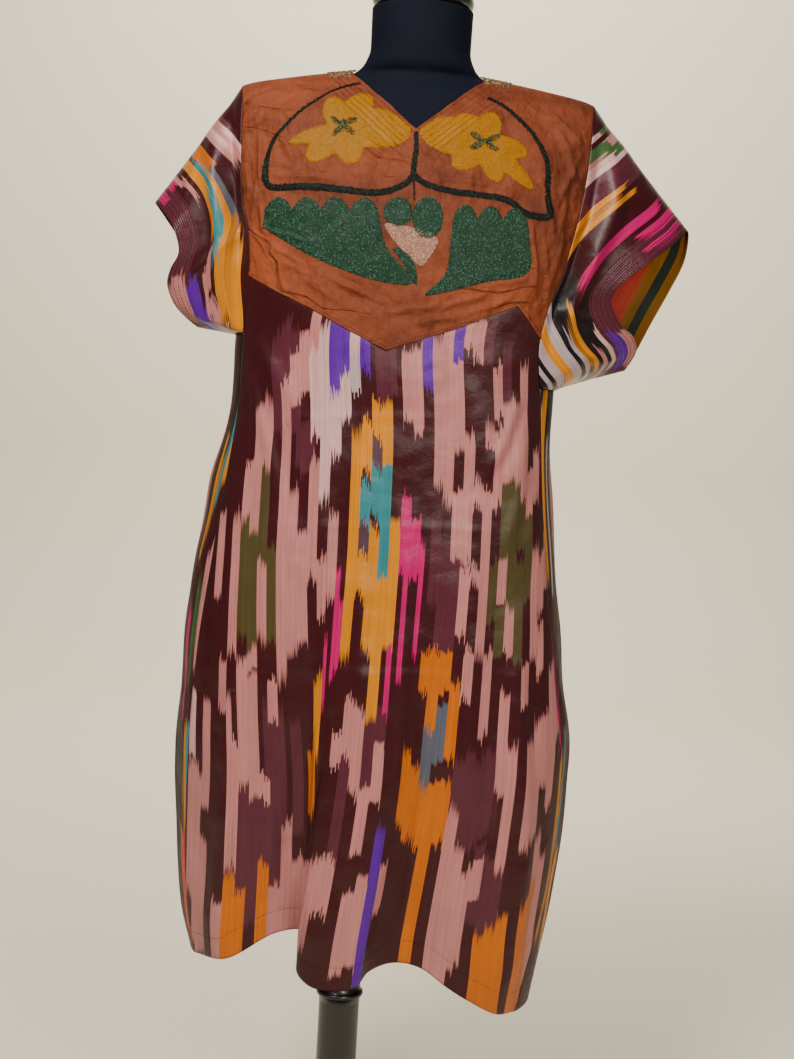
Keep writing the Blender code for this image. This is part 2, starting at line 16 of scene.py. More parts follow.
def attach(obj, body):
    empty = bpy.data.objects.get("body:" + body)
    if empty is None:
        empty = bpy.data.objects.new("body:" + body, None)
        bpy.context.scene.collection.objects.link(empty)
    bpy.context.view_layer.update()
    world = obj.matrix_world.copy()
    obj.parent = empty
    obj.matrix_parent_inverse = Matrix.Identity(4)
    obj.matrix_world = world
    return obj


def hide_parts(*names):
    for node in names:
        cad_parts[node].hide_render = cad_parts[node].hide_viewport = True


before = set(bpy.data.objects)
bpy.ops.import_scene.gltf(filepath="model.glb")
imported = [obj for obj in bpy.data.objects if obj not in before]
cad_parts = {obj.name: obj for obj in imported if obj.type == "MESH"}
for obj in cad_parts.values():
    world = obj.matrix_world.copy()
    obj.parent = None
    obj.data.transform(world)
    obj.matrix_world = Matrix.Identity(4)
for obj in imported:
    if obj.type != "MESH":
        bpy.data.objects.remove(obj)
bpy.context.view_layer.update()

print("solids:", sorted(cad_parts))

# %% [markdown]
# ## The camera
# The photo was taken from chest height, 1.85 m in front, tipped 4.2 degrees down and rolled 3.3 degrees.
# The lens comes from the same measurement of the form's neck and the hem.

# %% Camera
CAMERA_AT = (0.0375, -1.8505, 0.9908)
CAMERA_TIP = math.radians(-4.2)
CAMERA_ROLL = math.radians(3.3)
LENS = 36 * 1555 / 1059

ahead = Vector((0, math.cos(CAMERA_TIP), math.sin(CAMERA_TIP)))
level = Vector((1, 0, 0))
above = level.cross(ahead)
right = math.cos(CAMERA_ROLL) * level + math.sin(CAMERA_ROLL) * above
up = -math.sin(CAMERA_ROLL) * level + math.cos(CAMERA_ROLL) * above
camera_data = bpy.data.cameras.new("camera")
camera_data.lens = LENS
camera_data.sensor_width = 36
camera = bpy.data.objects.new("camera", camera_data)
camera.matrix_world = Matrix.Translation(CAMERA_AT) @ Matrix((right, up, -ahead)).transposed().to_4x4()
bpy.context.scene.collection.objects.link(camera)
bpy.context.scene.camera = camera
print("camera lens", round(LENS, 2), "mm")

# %% [markdown]
# ## The garment's measurements
# These are the solids' own tables: sections of the body surface, the seam lines, the yoke's lower edge,
# the hem and the cuffs. Keeping them the same keeps every shell on its solid.

# %% Measurements
CLOTH = 0.0007
ROUND = 2.5
NECK_X = 0.033
NECK_HALF = 0.085
V_POINT = (0.033, 1.3085)
BACK_NECK_Z = 1.350
BACK_YOKE_Z = 1.190
TIP_Z = 1.3612
NECK_SHARE = 0.58
NECK_SPREAD = 1.9
FOLD_TOP = 0.84
FOLD_EASE = 1.25
BACK_FOLDS = 3
BACK_FOLD_DEPTH = 0.016
BACK_HEM_LEFT = 0.338
BACK_HEM_RIGHT = 0.305
BACK_HEM_RISE = 0.008
UNDERARM_Z = {-1: 1.075, 1: 1.030}
UNDERARM_STAND_OFF = 0.0009
UNDERARM_EASE = 0.030

# Body surface: centre and half width in x, depths in front and behind, at each height
BODY_COLUMNS = ("z", "centre", "half", "front", "back")
BODY = [
    (0.270, 0.0250, 0.2000, 0.124, 0.122),
    (0.320, 0.0250, 0.2070, 0.126, 0.124),
    (0.400, 0.0228, 0.2208, 0.130, 0.130),
    (0.500, 0.0228, 0.2300, 0.134, 0.134),
    (0.600, 0.0229, 0.2340, 0.136, 0.136),
    (0.700, 0.0170, 0.2255, 0.135, 0.134),
    (0.800, 0.0145, 0.2145, 0.132, 0.130),
    (0.900, 0.0165, 0.2005, 0.129, 0.124),
    (1.000, 0.0228, 0.1885, 0.127, 0.119),
    (1.070, 0.0245, 0.1890, 0.127, 0.117),
    (1.150, 0.0300, 0.2030, 0.125, 0.116),
    (1.250, 0.0330, 0.2250, 0.111, 0.110),
    (1.320, 0.0330, 0.2320, 0.090, 0.094),
    (1.345, 0.0330, 0.2260, 0.076, 0.080),
    (1.3612, 0.0330, 0.2040, 0.062, 0.066),
    (1.3720, 0.0330, 0.1550, 0.051, 0.054),
    (1.3835, 0.0330, 0.0850, 0.036, 0.040),
    (1.3900, 0.0330, 0.0400, 0.026, 0.030),
]

# Side seams and, above the underarm, the armhole: x on each side
EDGE_COLUMNS = ("z", "left", "right")
EDGES = [
    (0.270, -0.166, 0.204),
    (0.350, -0.178, 0.219),
    (0.400, -0.188, 0.230),
    (0.480, -0.193, 0.240),
    (0.580, -0.192, 0.2435),
    (0.700, -0.186, 0.230),
    (0.810, -0.173, 0.214),
    (0.900, -0.162, 0.203),
    (1.000, -0.152, 0.194),
    (1.075, -0.150, 0.186),
    (1.117, -0.148, 0.193),
    (1.156, -0.1455, 0.207),
    (1.190, -0.149, 0.215),
    (1.2256, -0.158, 0.2225),
    (1.270, -0.1625, 0.229),
    (1.304, -0.164, 0.232),
    (1.345, -0.167, 0.2345),
    (TIP_Z, -0.171, 0.237),
]

# Lower edge of the front yoke: share of the way across the front, and height
YOKE_EDGE_COLUMNS = ("across", "z")
YOKE_EDGE = [
    (0.00, 1.141),
    (0.25, 1.106),
    (0.50, 1.0635),
    (0.70, 1.0905),
    (0.88, 1.122),
    (1.00, 1.088),
]

# The front's hem in x, y, z, from the wearer's right to left
HEM_FRONT = [
    (-0.172, -0.055, 0.345),
    (-0.130, -0.100, 0.356),
    (-0.080, -0.096, 0.386),
    (-0.044, -0.088, 0.391),
    (-0.033, -0.098, 0.380),
    (-0.049, -0.122, 0.358),
    (-0.030, -0.140, 0.343),
    (0.003, -0.146, 0.343),
    (0.022, -0.138, 0.347),
    (0.034, -0.122, 0.358),
    (0.060, -0.106, 0.364),
    (0.092, -0.108, 0.361),
    (0.122, -0.112, 0.343),
    (0.150, -0.110, 0.326),
    (0.183, -0.094, 0.306),
    (0.209, -0.058, 0.297),
]

# Cuff edges in x, y, z, from the top of the sleeve round by the front
CUFF_LEFT = [
    (-0.2685, 0.000, 1.223),
    (-0.252, -0.030, 1.208),
    (-0.238, -0.048, 1.189),
    (-0.231, -0.052, 1.163),
    (-0.240, -0.048, 1.143),
    (-0.2435, -0.040, 1.125),
    (-0.234, -0.028, 1.103),
    (-0.211, -0.006, 1.081),
    (-0.216, 0.022, 1.090),
    (-0.228, 0.044, 1.118),
    (-0.232, 0.054, 1.150),
    (-0.243, 0.044, 1.183),
    (-0.259, 0.022, 1.208),
]
CUFF_RIGHT = [
    (0.359, 0.000, 1.225),
    (0.337, -0.034, 1.205),
    (0.309, -0.054, 1.182),
    (0.281, -0.062, 1.158),
    (0.267, -0.058, 1.136),
    (0.279, -0.046, 1.112),
    (0.298, -0.032, 1.097),
    (0.305, -0.016, 1.080),
    (0.296, 0.004, 1.058),
    (0.309, 0.030, 1.076),
    (0.330, 0.048, 1.118),
    (0.350, 0.052, 1.158),
    (0.364, 0.036, 1.196),
]

# Dress form: centre, half width and depths at each height, and how square its oval is
FORM_COLUMNS = ("z", "centre", "half", "front", "back", "round")
FORM = [
    (0.680, 0.012, 0.140, 0.095, 0.098, 2.2),
    (0.700, 0.012, 0.154, 0.105, 0.108, 2.2),
    (0.780, 0.013, 0.166, 0.111, 0.115, 2.2),
    (0.880, 0.016, 0.148, 0.100, 0.100, 2.2),
    (0.980, 0.020, 0.122, 0.088, 0.085, 2.1),
    (1.060, 0.023, 0.136, 0.100, 0.090, 2.1),
    (1.140, 0.027, 0.152, 0.113, 0.098, 2.2),
    (1.200, 0.030, 0.163, 0.106, 0.098, 2.3),
    (1.260, 0.033, 0.182, 0.092, 0.092, 2.3),
    (1.310, 0.033, 0.190, 0.077, 0.081, 2.2),
    (1.335, 0.033, 0.188, 0.066, 0.070, 2.0),
    (1.350, 0.033, 0.183, 0.059, 0.063, 1.85),
    (1.361, 0.033, 0.173, 0.055, 0.058, 1.7),
    (1.3718, 0.033, 0.149, 0.048, 0.050, 1.5),
    (1.3794, 0.033, 0.103, 0.046, 0.048, 1.5),
    (1.3820, 0.033, 0.084, 0.046, 0.048, 1.5),
    (1.3880, 0.033, 0.0715, 0.050, 0.052, 1.8),
    (1.3960, 0.033, 0.0645, 0.053, 0.055, 2.0),
    (1.4150, 0.033, 0.0585, 0.055, 0.056, 2.0),
    (1.4600, 0.033, 0.0590, 0.057, 0.057, 2.0),
]

# %% [markdown]
# ## The body surface
# A section at any height is a rounded oval. Each stretch between two seams is stored as a line of points
# at equal distances, so a place on the cloth is a share of the way across and a height.

# %% Body surface
LEVEL_STEP = 0.002
LEVELS = np.arange(0.27, 1.3885, LEVEL_STEP)
SHARES = 161


def column(table, columns, name):
    return np.array(table, float)[:, columns.index(name)]


def read(table, columns, name, at):
    """A smooth curve through one column of a table that never overshoots."""
    x = column(table, columns, columns[0])
    y = column(table, columns, name)
    step = np.diff(x)
    slope = np.diff(y) / step
    tangent = np.zeros_like(y)
    before, after = slope[:-1], slope[1:]
    weight_before = 2 * step[1:] + step[:-1]
    weight_after = step[1:] + 2 * step[:-1]
    turning = before * after <= 0
    safe_before = np.where(turning, 1.0, before)
    safe_after = np.where(turning, 1.0, after)
    mean = (weight_before + weight_after) / (weight_before / safe_before + weight_after / safe_after)
    tangent[1:-1] = np.where(turning, 0.0, mean)
    tangent[0], tangent[-1] = slope[0], slope[-1]
    at = np.clip(np.asarray(at, float), x[0], x[-1])
    k = np.clip(np.searchsorted(x, at, side="right") - 1, 0, len(x) - 2)
    t = (at - x[k]) / step[k]
    rise = t * t * (3 - 2 * t)
    bend = step[k] * (tangent[k] * t * (1 - t) ** 2 - tangent[k + 1] * t * t * (1 - t))
    return y[k] * (1 - rise) + y[k + 1] * rise + bend


def body(name, z):
    return read(BODY, BODY_COLUMNS, name, z)


def seam_x(hand, z):
    return read(EDGES, EDGE_COLUMNS, "left" if hand < 0 else "right", z)


def surface_y(face, x, z):
    share = np.clip(np.abs(x - body("centre", z)) / body("half", z), 0.0, 1.0)
    return face * body("front" if face < 0 else "back", z) * (1 - share**ROUND) ** (1 / ROUND)


def body_normal(points):
    """Outward direction of the body surface."""

    def level_of(p):
        z = p[..., 2]
        wide = np.abs(p[..., 0] - body("centre", z)) / body("half", z)
        depth = np.where(p[..., 1] < 0, body("front", z), body("back", z))
        return wide**ROUND + (np.abs(p[..., 1]) / depth) ** ROUND

    slope = np.zeros_like(points)
    for axis in range(3):
        shift = np.zeros(3)
        shift[axis] = 1e-4
        slope[..., axis] = level_of(points + shift) - level_of(points - shift)
    return slope / np.maximum(np.linalg.norm(slope, axis=-1, keepdims=True), 1e-12)


def along(line, shares):
    length = np.concatenate([[0.0], np.cumsum(np.linalg.norm(np.diff(line, axis=0), axis=1))])
    at = np.asarray(shares, float) * length[-1]
    return np.stack([np.interp(at, length, line[:, i]) for i in range(line.shape[1])], axis=-1)


def line_length(line):
    return float(np.linalg.norm(np.diff(line, axis=0), axis=1).sum())


def spline(points, closed=False, fine=12):
    """A smooth line through points."""
    p = np.array(points, float)
    if closed:
        p = np.concatenate([p[-1:], p, p[:2]])
    else:
        p = np.concatenate([2 * p[:1] - p[1:2], p, 2 * p[-1:] - p[-2:-1]])
    out = []
    for k in range(len(p) - 3):
        a, b, c, d = p[k : k + 4]
        for t in np.arange(fine) / fine:
            curve = (2 * a - 5 * b + 4 * c - d) * t**2 + (3 * b - 3 * c + d - a) * t**3
            out.append(0.5 * (2 * b + (c - a) * t + curve))
    out.append(p[-2])
    return np.array(out)


def section_angle(hand, z):
    share = np.clip(np.abs(seam_x(hand, z) - body("centre", z)) / body("half", z), 0.0, 1.0)
    return math.asin(float(share) ** (ROUND / 2))


def section_line(stretch, z, fine=120):
    """The section at z across the front (-1) or back (1), or round the left or right side."""
    centre, half = body("centre", z), body("half", z)
    if stretch in ("left", "right"):
        hand = -1 if stretch == "left" else 1
        edge = section_angle(hand, z)
        turn = np.linspace(edge, math.pi - edge, fine)
        x = centre + hand * half * np.abs(np.sin(turn)) ** (2 / ROUND)
        depth = np.where(turn < math.pi / 2, body("front", z), body("back", z))
        y = -np.sign(np.cos(turn)) * depth * np.abs(np.cos(turn)) ** (2 / ROUND)
    else:
        turn = np.linspace(-section_angle(-1, z), section_angle(1, z), fine)
        x = centre + half * np.sign(np.sin(turn)) * np.abs(np.sin(turn)) ** (2 / ROUND)
        y = surface_y(stretch, x, z)
    return np.stack([x, y], axis=-1)


SECTIONS = {}
WIDTHS = {}
for stretch in (-1, 1, "left", "right"):
    lines = [section_line(stretch, z) for z in LEVELS]
    SECTIONS[stretch] = np.array([along(line, np.linspace(0, 1, SHARES)) for line in lines])
    WIDTHS[stretch] = np.array([line_length(line) for line in lines])


def flat_points(stretch, across, z):
    """The unfolded surface at shares of the way across a stretch, and heights."""
    across, z = np.broadcast_arrays(np.asarray(across, float), np.asarray(z, float))
    row = np.clip((z - LEVELS[0]) / LEVEL_STEP, 0, len(LEVELS) - 1.001)
    col = np.clip(across * (SHARES - 1), 0, SHARES - 1.001)
    r, c = row.astype(int), col.astype(int)
    f, g = (row - r)[..., None], (col - c)[..., None]
    t = SECTIONS[stretch]
    xy = (t[r, c] * (1 - g) + t[r, c + 1] * g) * (1 - f) + (t[r + 1, c] * (1 - g) + t[r + 1, c + 1] * g) * f
    return np.concatenate([xy, z[..., None]], axis=-1)


def width_at(stretch, z):
    return np.interp(z, LEVELS, WIDTHS[stretch])


def yoke_edge_z(across):
    share = column(YOKE_EDGE, YOKE_EDGE_COLUMNS, "across")
    return np.interp(across, share, column(YOKE_EDGE, YOKE_EDGE_COLUMNS, "z"))


RIDGE_LEVELS = np.linspace(TIP_Z, BODY[-1][0], 400)
RIDGE_HALVES = body("half", RIDGE_LEVELS)


def ridge_z(half):
    """Height of the shoulder line at a distance from the neck's centre."""
    return np.interp(-np.asarray(half, float), -RIDGE_HALVES, RIDGE_LEVELS)


def front_hem(across):
    return along(spline(HEM_FRONT), across)


def back_hem(across):
    across = np.asarray(across, float)
    wave = np.sin(math.pi * across) * np.cos(2 * math.pi * BACK_FOLDS * across)
    z = BACK_HEM_LEFT + (BACK_HEM_RIGHT - BACK_HEM_LEFT) * across - BACK_HEM_RISE * wave
    points = flat_points(1, across, z)
    points[..., 1] += BACK_FOLD_DEPTH * wave
    return points


def side_hem(stretch, across):
    across = np.asarray(across, float)[:, None]
    end = 0.0 if stretch == "left" else 1.0
    near, far = front_hem([end])[0], back_hem([end])[0]
    near_drop = near - flat_points(stretch, 0.0, near[2])
    far_drop = far - flat_points(stretch, 1.0, far[2])
    z = (near[2] * (1 - across) + far[2] * across)[:, 0]
    return flat_points(stretch, across[:, 0], z) + near_drop * (1 - across) + far_drop * across


print("sections:", len(LEVELS), "levels of", SHARES, "points")

# %% [markdown]
# ## Shells and creases
# A crease is a soft ridge with a shallower trough beside it, laid along a line on the cloth. Ends fade out.
# A shell is a grid of points given the cloth's thickness, with a map in metres along and across the threads.

# %% Shells and creases
TROUGH_DEPTH = 0.45
TROUGH_AT = 1.7


def smooth_step(t):
    t = np.clip(t, 0.0, 1.0)
    return t * t * (3 - 2 * t)


def creases(u, v, table):
    """Height of the creases at places on the cloth. Rows are from u, v, to u, v, half width and height."""
    total = np.zeros(np.broadcast(u, v).shape)
    for u0, v0, u1, v1, wide, height in table:
        run = np.array([u1 - u0, v1 - v0])
        size = np.hypot(*run)
        side = np.array([-run[1], run[0]]) / size
        t = ((u - u0) * run[0] + (v - v0) * run[1]) / size**2
        off = (u - u0) * side[0] + (v - v0) * side[1]
        off = off + 0.25 * wide * np.sin(7 * t + 40 * u0)
        fade = smooth_step((t + 0.12) / 0.35) * smooth_step((1.12 - t) / 0.35)
        ridge = np.exp(-((off / wide) ** 2))
        trough = TROUGH_DEPTH * np.exp(-(((off - TROUGH_AT * wide) / wide) ** 2))
        total += height * fade * (ridge - trough)
    return total


def unevenness(u, v, size, seed):
    """A slow, uneven swell between -1 and 1."""
    turn = np.random.default_rng(seed)
    total = 0.0
    for _ in range(6):
        angle, phase = turn.uniform(0, 2 * math.pi, 2)
        wave = size * turn.uniform(0.6, 1.6)
        total = total + np.sin(2 * math.pi * (u * math.cos(angle) + v * math.sin(angle)) / wave + phase)
    return total / 6


def grid_normals(grid, around=False):
    if around:
        ring = grid[:, :-1]
        across = np.roll(ring, -1, axis=1) - np.roll(ring, 1, axis=1)
        across = np.concatenate([across, across[:, :1]], axis=1)
    else:
        across = np.gradient(grid, axis=1)
    out = np.cross(np.gradient(grid, axis=0), across)
    return out / np.maximum(np.linalg.norm(out, axis=-1, keepdims=True), 1e-12)


def grid_area(grid):
    a, b = grid[1:, 1:] - grid[:-1, :-1], grid[1:, :-1] - grid[:-1, 1:]
    return float(np.linalg.norm(np.cross(a, b), axis=-1).sum() / 2)


def link(name, mesh, materials, smooth=True):
    for material in materials:
        mesh.materials.append(material)
    if smooth:
        mesh.shade_smooth()
    thing = bpy.data.objects.new(name, mesh)
    bpy.context.scene.collection.objects.link(thing)
    return thing


def shell(name, middle, normals, uv, outer, inner, around=False):
    """Thin cloth round a grid of points: the first material outside and round the edges, the second inside."""
    rows, cols = middle.shape[:2]
    faces_apart = normals * CLOTH / 2
    verts = np.concatenate([(middle + faces_apart).reshape(-1, 3), (middle - faces_apart).reshape(-1, 3)])
    r, c = np.meshgrid(np.arange(rows - 1), np.arange(cols - 1), indexing="ij")
    a = (r * cols + c).ravel()
    quads = np.stack([a, a + 1, a + cols + 1, a + cols], axis=-1)
    below = quads[:, ::-1] + rows * cols
    rims = []
    for start in (0, (rows - 1) * cols):
        k = start + np.arange(cols - 1)
        rims.append(np.stack([k, k + rows * cols, k + 1 + rows * cols, k + 1], axis=-1))
    if not around:
        for start in (0, cols - 1):
            k = start + np.arange(rows - 1) * cols
            rims.append(np.stack([k, k + rows * cols, k + cols + rows * cols, k + cols], axis=-1))
    faces = np.concatenate([quads, below, *rims])
    mesh = bpy.data.meshes.new(name)
    mesh.from_pydata(verts.tolist(), [], faces.tolist())
    layer = mesh.uv_layers.new(name="cloth")
    index = np.zeros(len(mesh.loops), int)
    mesh.loops.foreach_get("vertex_index", index)
    flat = np.concatenate([uv.reshape(-1, 2)] * 2)
    layer.data.foreach_set("uv", flat[index].astype(np.float32).ravel())
    side = np.zeros(len(faces), np.int32)
    side[len(quads) : 2 * len(quads)] = 1
    mesh.polygons.foreach_set("material_index", side)
    cage = bmesh.new()
    cage.from_mesh(mesh)
    if around:
        bmesh.ops.remove_doubles(cage, verts=cage.verts, dist=1e-6)
    bmesh.ops.recalc_face_normals(cage, faces=cage.faces)
    if cage.calc_volume(signed=True) < 0:
        bmesh.ops.reverse_faces(cage, faces=cage.faces)
    cage.to_mesh(mesh)
    cage.free()
    return link(name, mesh, [outer, inner])


# %% [markdown]
# ## Colours and node helpers
# Colours are written as they look on a screen and turned into light values once, here.

# %% Colours and node helpers
HUES = {
    "plum": "#4a1d2a",
    "maroon": "#33080f",
    "pink": "#a56a69",
    # pale is a paler pink; the front's chest runs use it for painted highlight, the satin's sheen
    "pale": "#b8908f",
    "yellow": "#b97200",
    "orange": "#ad5800",
    "teal": "#2c6f78",
    "slate": "#4b4f5c",
    "slate plum": "#46303a",
    "olive": "#433a20",
    "magenta": "#a8005a",
    "violet": "#4c0a86",
    # white is a pale thread colour; the front's one chest run uses it for painted highlight
    "white": "#9c8b90",
    "black": "#100b0e",
    "green": "#34502c",
    "coral": "#b83a2c",
    "gold": "#8a5c10",
    "pine": "#1c3228",
}


def tone(hexed):
    """A screen colour as linear light."""
    parts = [int(hexed[k : k + 2], 16) / 255 for k in (1, 3, 5)]
    return tuple(p / 12.92 if p <= 0.04045 else ((p + 0.055) / 1.055) ** 2.4 for p in parts) + (1.0,)


def new_material(name):
    material = bpy.data.materials.new(name)
    material.use_nodes = True
    return material, material.node_tree, material.node_tree.nodes["Principled BSDF"]


def add(tree, kind, *inputs, **settings):
    """Adds a node, sets its options, and connects or fills its inputs in order."""
    node = tree.nodes.new(kind)
    for key, value in settings.items():
        setattr(node, key, value)
    for socket, value in zip(node.inputs, inputs):
        if isinstance(value, bpy.types.NodeSocket):
            tree.links.new(value, socket)
        elif value is not None:
            socket.default_value = value
    return node.outputs[0]


def sums(tree, operation, *inputs):
    return add(tree, "ShaderNodeMath", *inputs, operation=operation)


def vectors(tree, operation, *inputs):
    node = tree.nodes.new("ShaderNodeVectorMath")
    node.operation = operation
    for socket, value in zip(node.inputs, inputs):
        if isinstance(value, bpy.types.NodeSocket):
            tree.links.new(value, socket)
        else:
            socket.default_value = value
    return node.outputs["Value" if operation in ("DOT_PRODUCT", "LENGTH") else "Vector"]


def mixed(tree, share, first, second, blend="MIX"):
    node = tree.nodes.new("ShaderNodeMix")
    node.data_type = "RGBA"
    node.blend_type = blend
    for socket, value in ((node.inputs[0], share), (node.inputs[6], first), (node.inputs[7], second)):
        if isinstance(value, bpy.types.NodeSocket):
            tree.links.new(value, socket)
        else:
            socket.default_value = value
    return node.outputs[2]


def noise(tree, where, scale, detail=3.0, rough=0.5):
    return add(tree, "ShaderNodeTexNoise", where, None, scale, detail, rough)


def bump(tree, height, distance, strength=1.0, before=None):
    node = tree.nodes.new("ShaderNodeBump")
    node.inputs["Strength"].default_value = strength
    node.inputs["Distance"].default_value = distance
    tree.links.new(height, node.inputs["Height"])
    if before is not None:
        tree.links.new(before, node.inputs["Normal"])
    return node.outputs[0]


# %% [markdown]
# ## The ikat satin
# The warp was tied and dyed before weaving, so each motif is a run of colour along the threads. Bundles
# of threads slip a little against each other on the loom, which gives the stepped, feathered ends. The
# material does the same: it shifts each bundle, each half of it and each thread by its own amount and
# then asks which motif it is in.

# %% Ikat satin
BUNDLE = 0.0115
THREAD = 0.0011
# How far a bundle, half a bundle and a thread slip, and the step from each bundle to the next
SLIPS = (0.012, 0.004, 0.010, 0.008)
SLEEVE_SLIPS = (0.014, 0.005, 0.010, 0.012)
FEATHER = 2.4
GROUND = "maroon"
OVERLAP_ACROSS = 1.14
OVERLAP_ALONG = 5
MILLI = 0.001


def chance_of(tree, cell, offset):
    """A number between -1 and 1 that belongs to one strip of threads."""
    chance = tree.nodes.new("ShaderNodeTexWhiteNoise")
    chance.noise_dimensions = "1D"
    tree.links.new(sums(tree, "ADD", cell, offset), chance.inputs["W"])
    return sums(tree, "MULTIPLY_ADD", chance.outputs["Value"], 2.0, -1.0)


def crumples(tree, spot, scale, warp=0.35):
    """Sharp little lines where cloth was once folded."""
    drift = vectors(tree, "SCALE", noise_colour(tree, spot, scale * 0.6), (0, 0, 0), (0, 0, 0), warp / scale)
    bent = vectors(tree, "ADD", spot, drift)
    cells = tree.nodes.new("ShaderNodeTexVoronoi")
    cells.feature = "DISTANCE_TO_EDGE"
    cells.inputs["Scale"].default_value = scale
    tree.links.new(bent, cells.inputs["Vector"])
    return sums(tree, "MINIMUM", cells.outputs["Distance"], 0.16)


def noise_colour(tree, where, scale):
    node = tree.nodes.new("ShaderNodeTexNoise")
    node.inputs["Scale"].default_value = scale
    tree.links.new(where, node.inputs["Vector"])
    return node.outputs["Color"]


def ikat(name, motifs, flip=1.0, raise_by=0.0, slips=SLIPS, reverse=False, puckers=0.0):
    """A satin whose motifs are rows of hue, place across and along in mm, and half sizes in mm."""
    material, tree, shader = new_material(name)
    uv = add(tree, "ShaderNodeUVMap", uv_map="cloth")
    split = tree.nodes.new("ShaderNodeSeparateXYZ")
    tree.links.new(uv, split.inputs[0])
    u = sums(tree, "MULTIPLY", split.outputs[0], flip)
    v = sums(tree, "ADD", split.outputs[1], raise_by)
    bundle = sums(tree, "FLOOR", sums(tree, "MULTIPLY_ADD", u, 1 / BUNDLE, 0.5))
    half_bundle = sums(tree, "FLOOR", sums(tree, "DIVIDE", u, BUNDLE / 2))
    thread = sums(tree, "FLOOR", sums(tree, "DIVIDE", u, THREAD))
    cells = (bundle, half_bundle, thread)
    wide_slip, half_slip, thread_slip = (chance_of(tree, cell, 31.7 * k) for k, cell in enumerate(cells))
    wide_slip = sums(tree, "MULTIPLY", wide_slip, sums(tree, "ABSOLUTE", wide_slip))
    lone_slip = sums(tree, "MULTIPLY", sums(tree, "MULTIPLY", thread_slip, thread_slip), thread_slip)
    for slip, size in ((wide_slip, slips[0]), (half_slip, slips[1]), (lone_slip, slips[2])):
        v = sums(tree, "MULTIPLY_ADD", slip, size, v)
    odd = sums(tree, "FLOORED_MODULO", bundle, 2.0)
    teeth = sums(tree, "MULTIPLY_ADD", sums(tree, "SUBTRACT", odd, 0.5), slips[3], v)
    stepped = sums(tree, "MULTIPLY", sums(tree, "ADD", half_bundle, 0.5), BUNDLE / 2)
    place = add(tree, "ShaderNodeCombineXYZ", stepped, teeth, 0.0)
    colour = tone(HUES[GROUND])
    for hue, across, up_at, half_across, half_up in motifs:
        wide = OVERLAP_ACROSS * half_across * MILLI
        long = (half_up + OVERLAP_ALONG) * MILLI
        size = (1 / wide, 1 / long, 0.0)
        shift = (-across * MILLI * size[0], -up_at * MILLI * size[1], 0.0)
        off = vectors(tree, "MULTIPLY_ADD", place, size, shift)
        off = vectors(tree, "MULTIPLY", off, off)
        off = vectors(tree, "MULTIPLY", off, off)
        within = vectors(tree, "DOT_PRODUCT", off, (1.0, 1.0, 0.0))
        dyed = sums(tree, "MULTIPLY_ADD", within, -FEATHER, FEATHER + 0.2)
        colour = mixed(tree, dyed, colour, tone(HUES[hue]))
    along_threads = sums(tree, "MULTIPLY", v, 7.0)
    fine = add(tree, "ShaderNodeCombineXYZ", sums(tree, "MULTIPLY", u, 520.0), along_threads, 0.0)
    streaks = noise(tree, fine, 1.0, 3.0, 0.6)
    dye = noise(tree, vectors(tree, "MULTIPLY", place, (60.0, 14.0, 1.0)), 1.0, 2.0, 0.5)
    shade = sums(tree, "MULTIPLY_ADD", streaks, 0.62, sums(tree, "MULTIPLY_ADD", thread_slip, 0.07, 0.50))
    shade = sums(tree, "MULTIPLY_ADD", dye, 0.36, shade)
    grey = add(tree, "ShaderNodeCombineColor", shade, shade, shade)
    colour = mixed(tree, 1.0, colour, grey, "MULTIPLY")
    if reverse:
        colour = mixed(tree, 0.25, colour, tone("#3a2420"))
    tree.links.new(colour, shader.inputs["Base Color"])
    shader.inputs["Roughness"].default_value = 0.6 if reverse else 0.42
    shader.inputs["Anisotropic"].default_value = 0.7
    shader.inputs["Specular IOR Level"].default_value = 0.1 if reverse else 0.28
    threads_run = tree.nodes.new("ShaderNodeTangent")
    threads_run.direction_type = "UV_MAP"
    threads_run.uv_map = "cloth"
    tree.links.new(threads_run.outputs[0], shader.inputs["Tangent"])
    spot = add(tree, "ShaderNodeTexCoord").node.outputs["Object"]
    soft = bump(tree, noise(tree, spot, 14.0, 2.0, 0.5), 0.010, 0.7)
    crumple = bump(tree, crumples(tree, spot, 13.0), 0.0035, 0.55, soft)
    small = bump(tree, noise(tree, spot, 85.0, 3.0, 0.55), 0.0012, 0.5, crumple)
    normal = bump(tree, streaks, 0.00016, 0.7, small)
    if puckers:
        row = sums(tree, "SINE", sums(tree, "MULTIPLY", split.outputs[0], 2 * math.pi / CUFF_PITCH))
        wander = noise(tree, vectors(tree, "MULTIPLY", uv, (300.0, 130.0, 1.0)), 1.0, 2.0, 0.5)
        quilt = sums(tree, "MULTIPLY_ADD", row, 0.22, wander)
        quilt = sums(tree, "MULTIPLY", quilt, sums(tree, "LESS_THAN", split.outputs[0], puckers))
        normal = bump(tree, quilt, 0.0011, 0.9, normal)
    tree.links.new(normal, shader.inputs["Normal"])
    return material


CUFF_PITCH = 0.0029
CUFF_DEPTH = 0.027
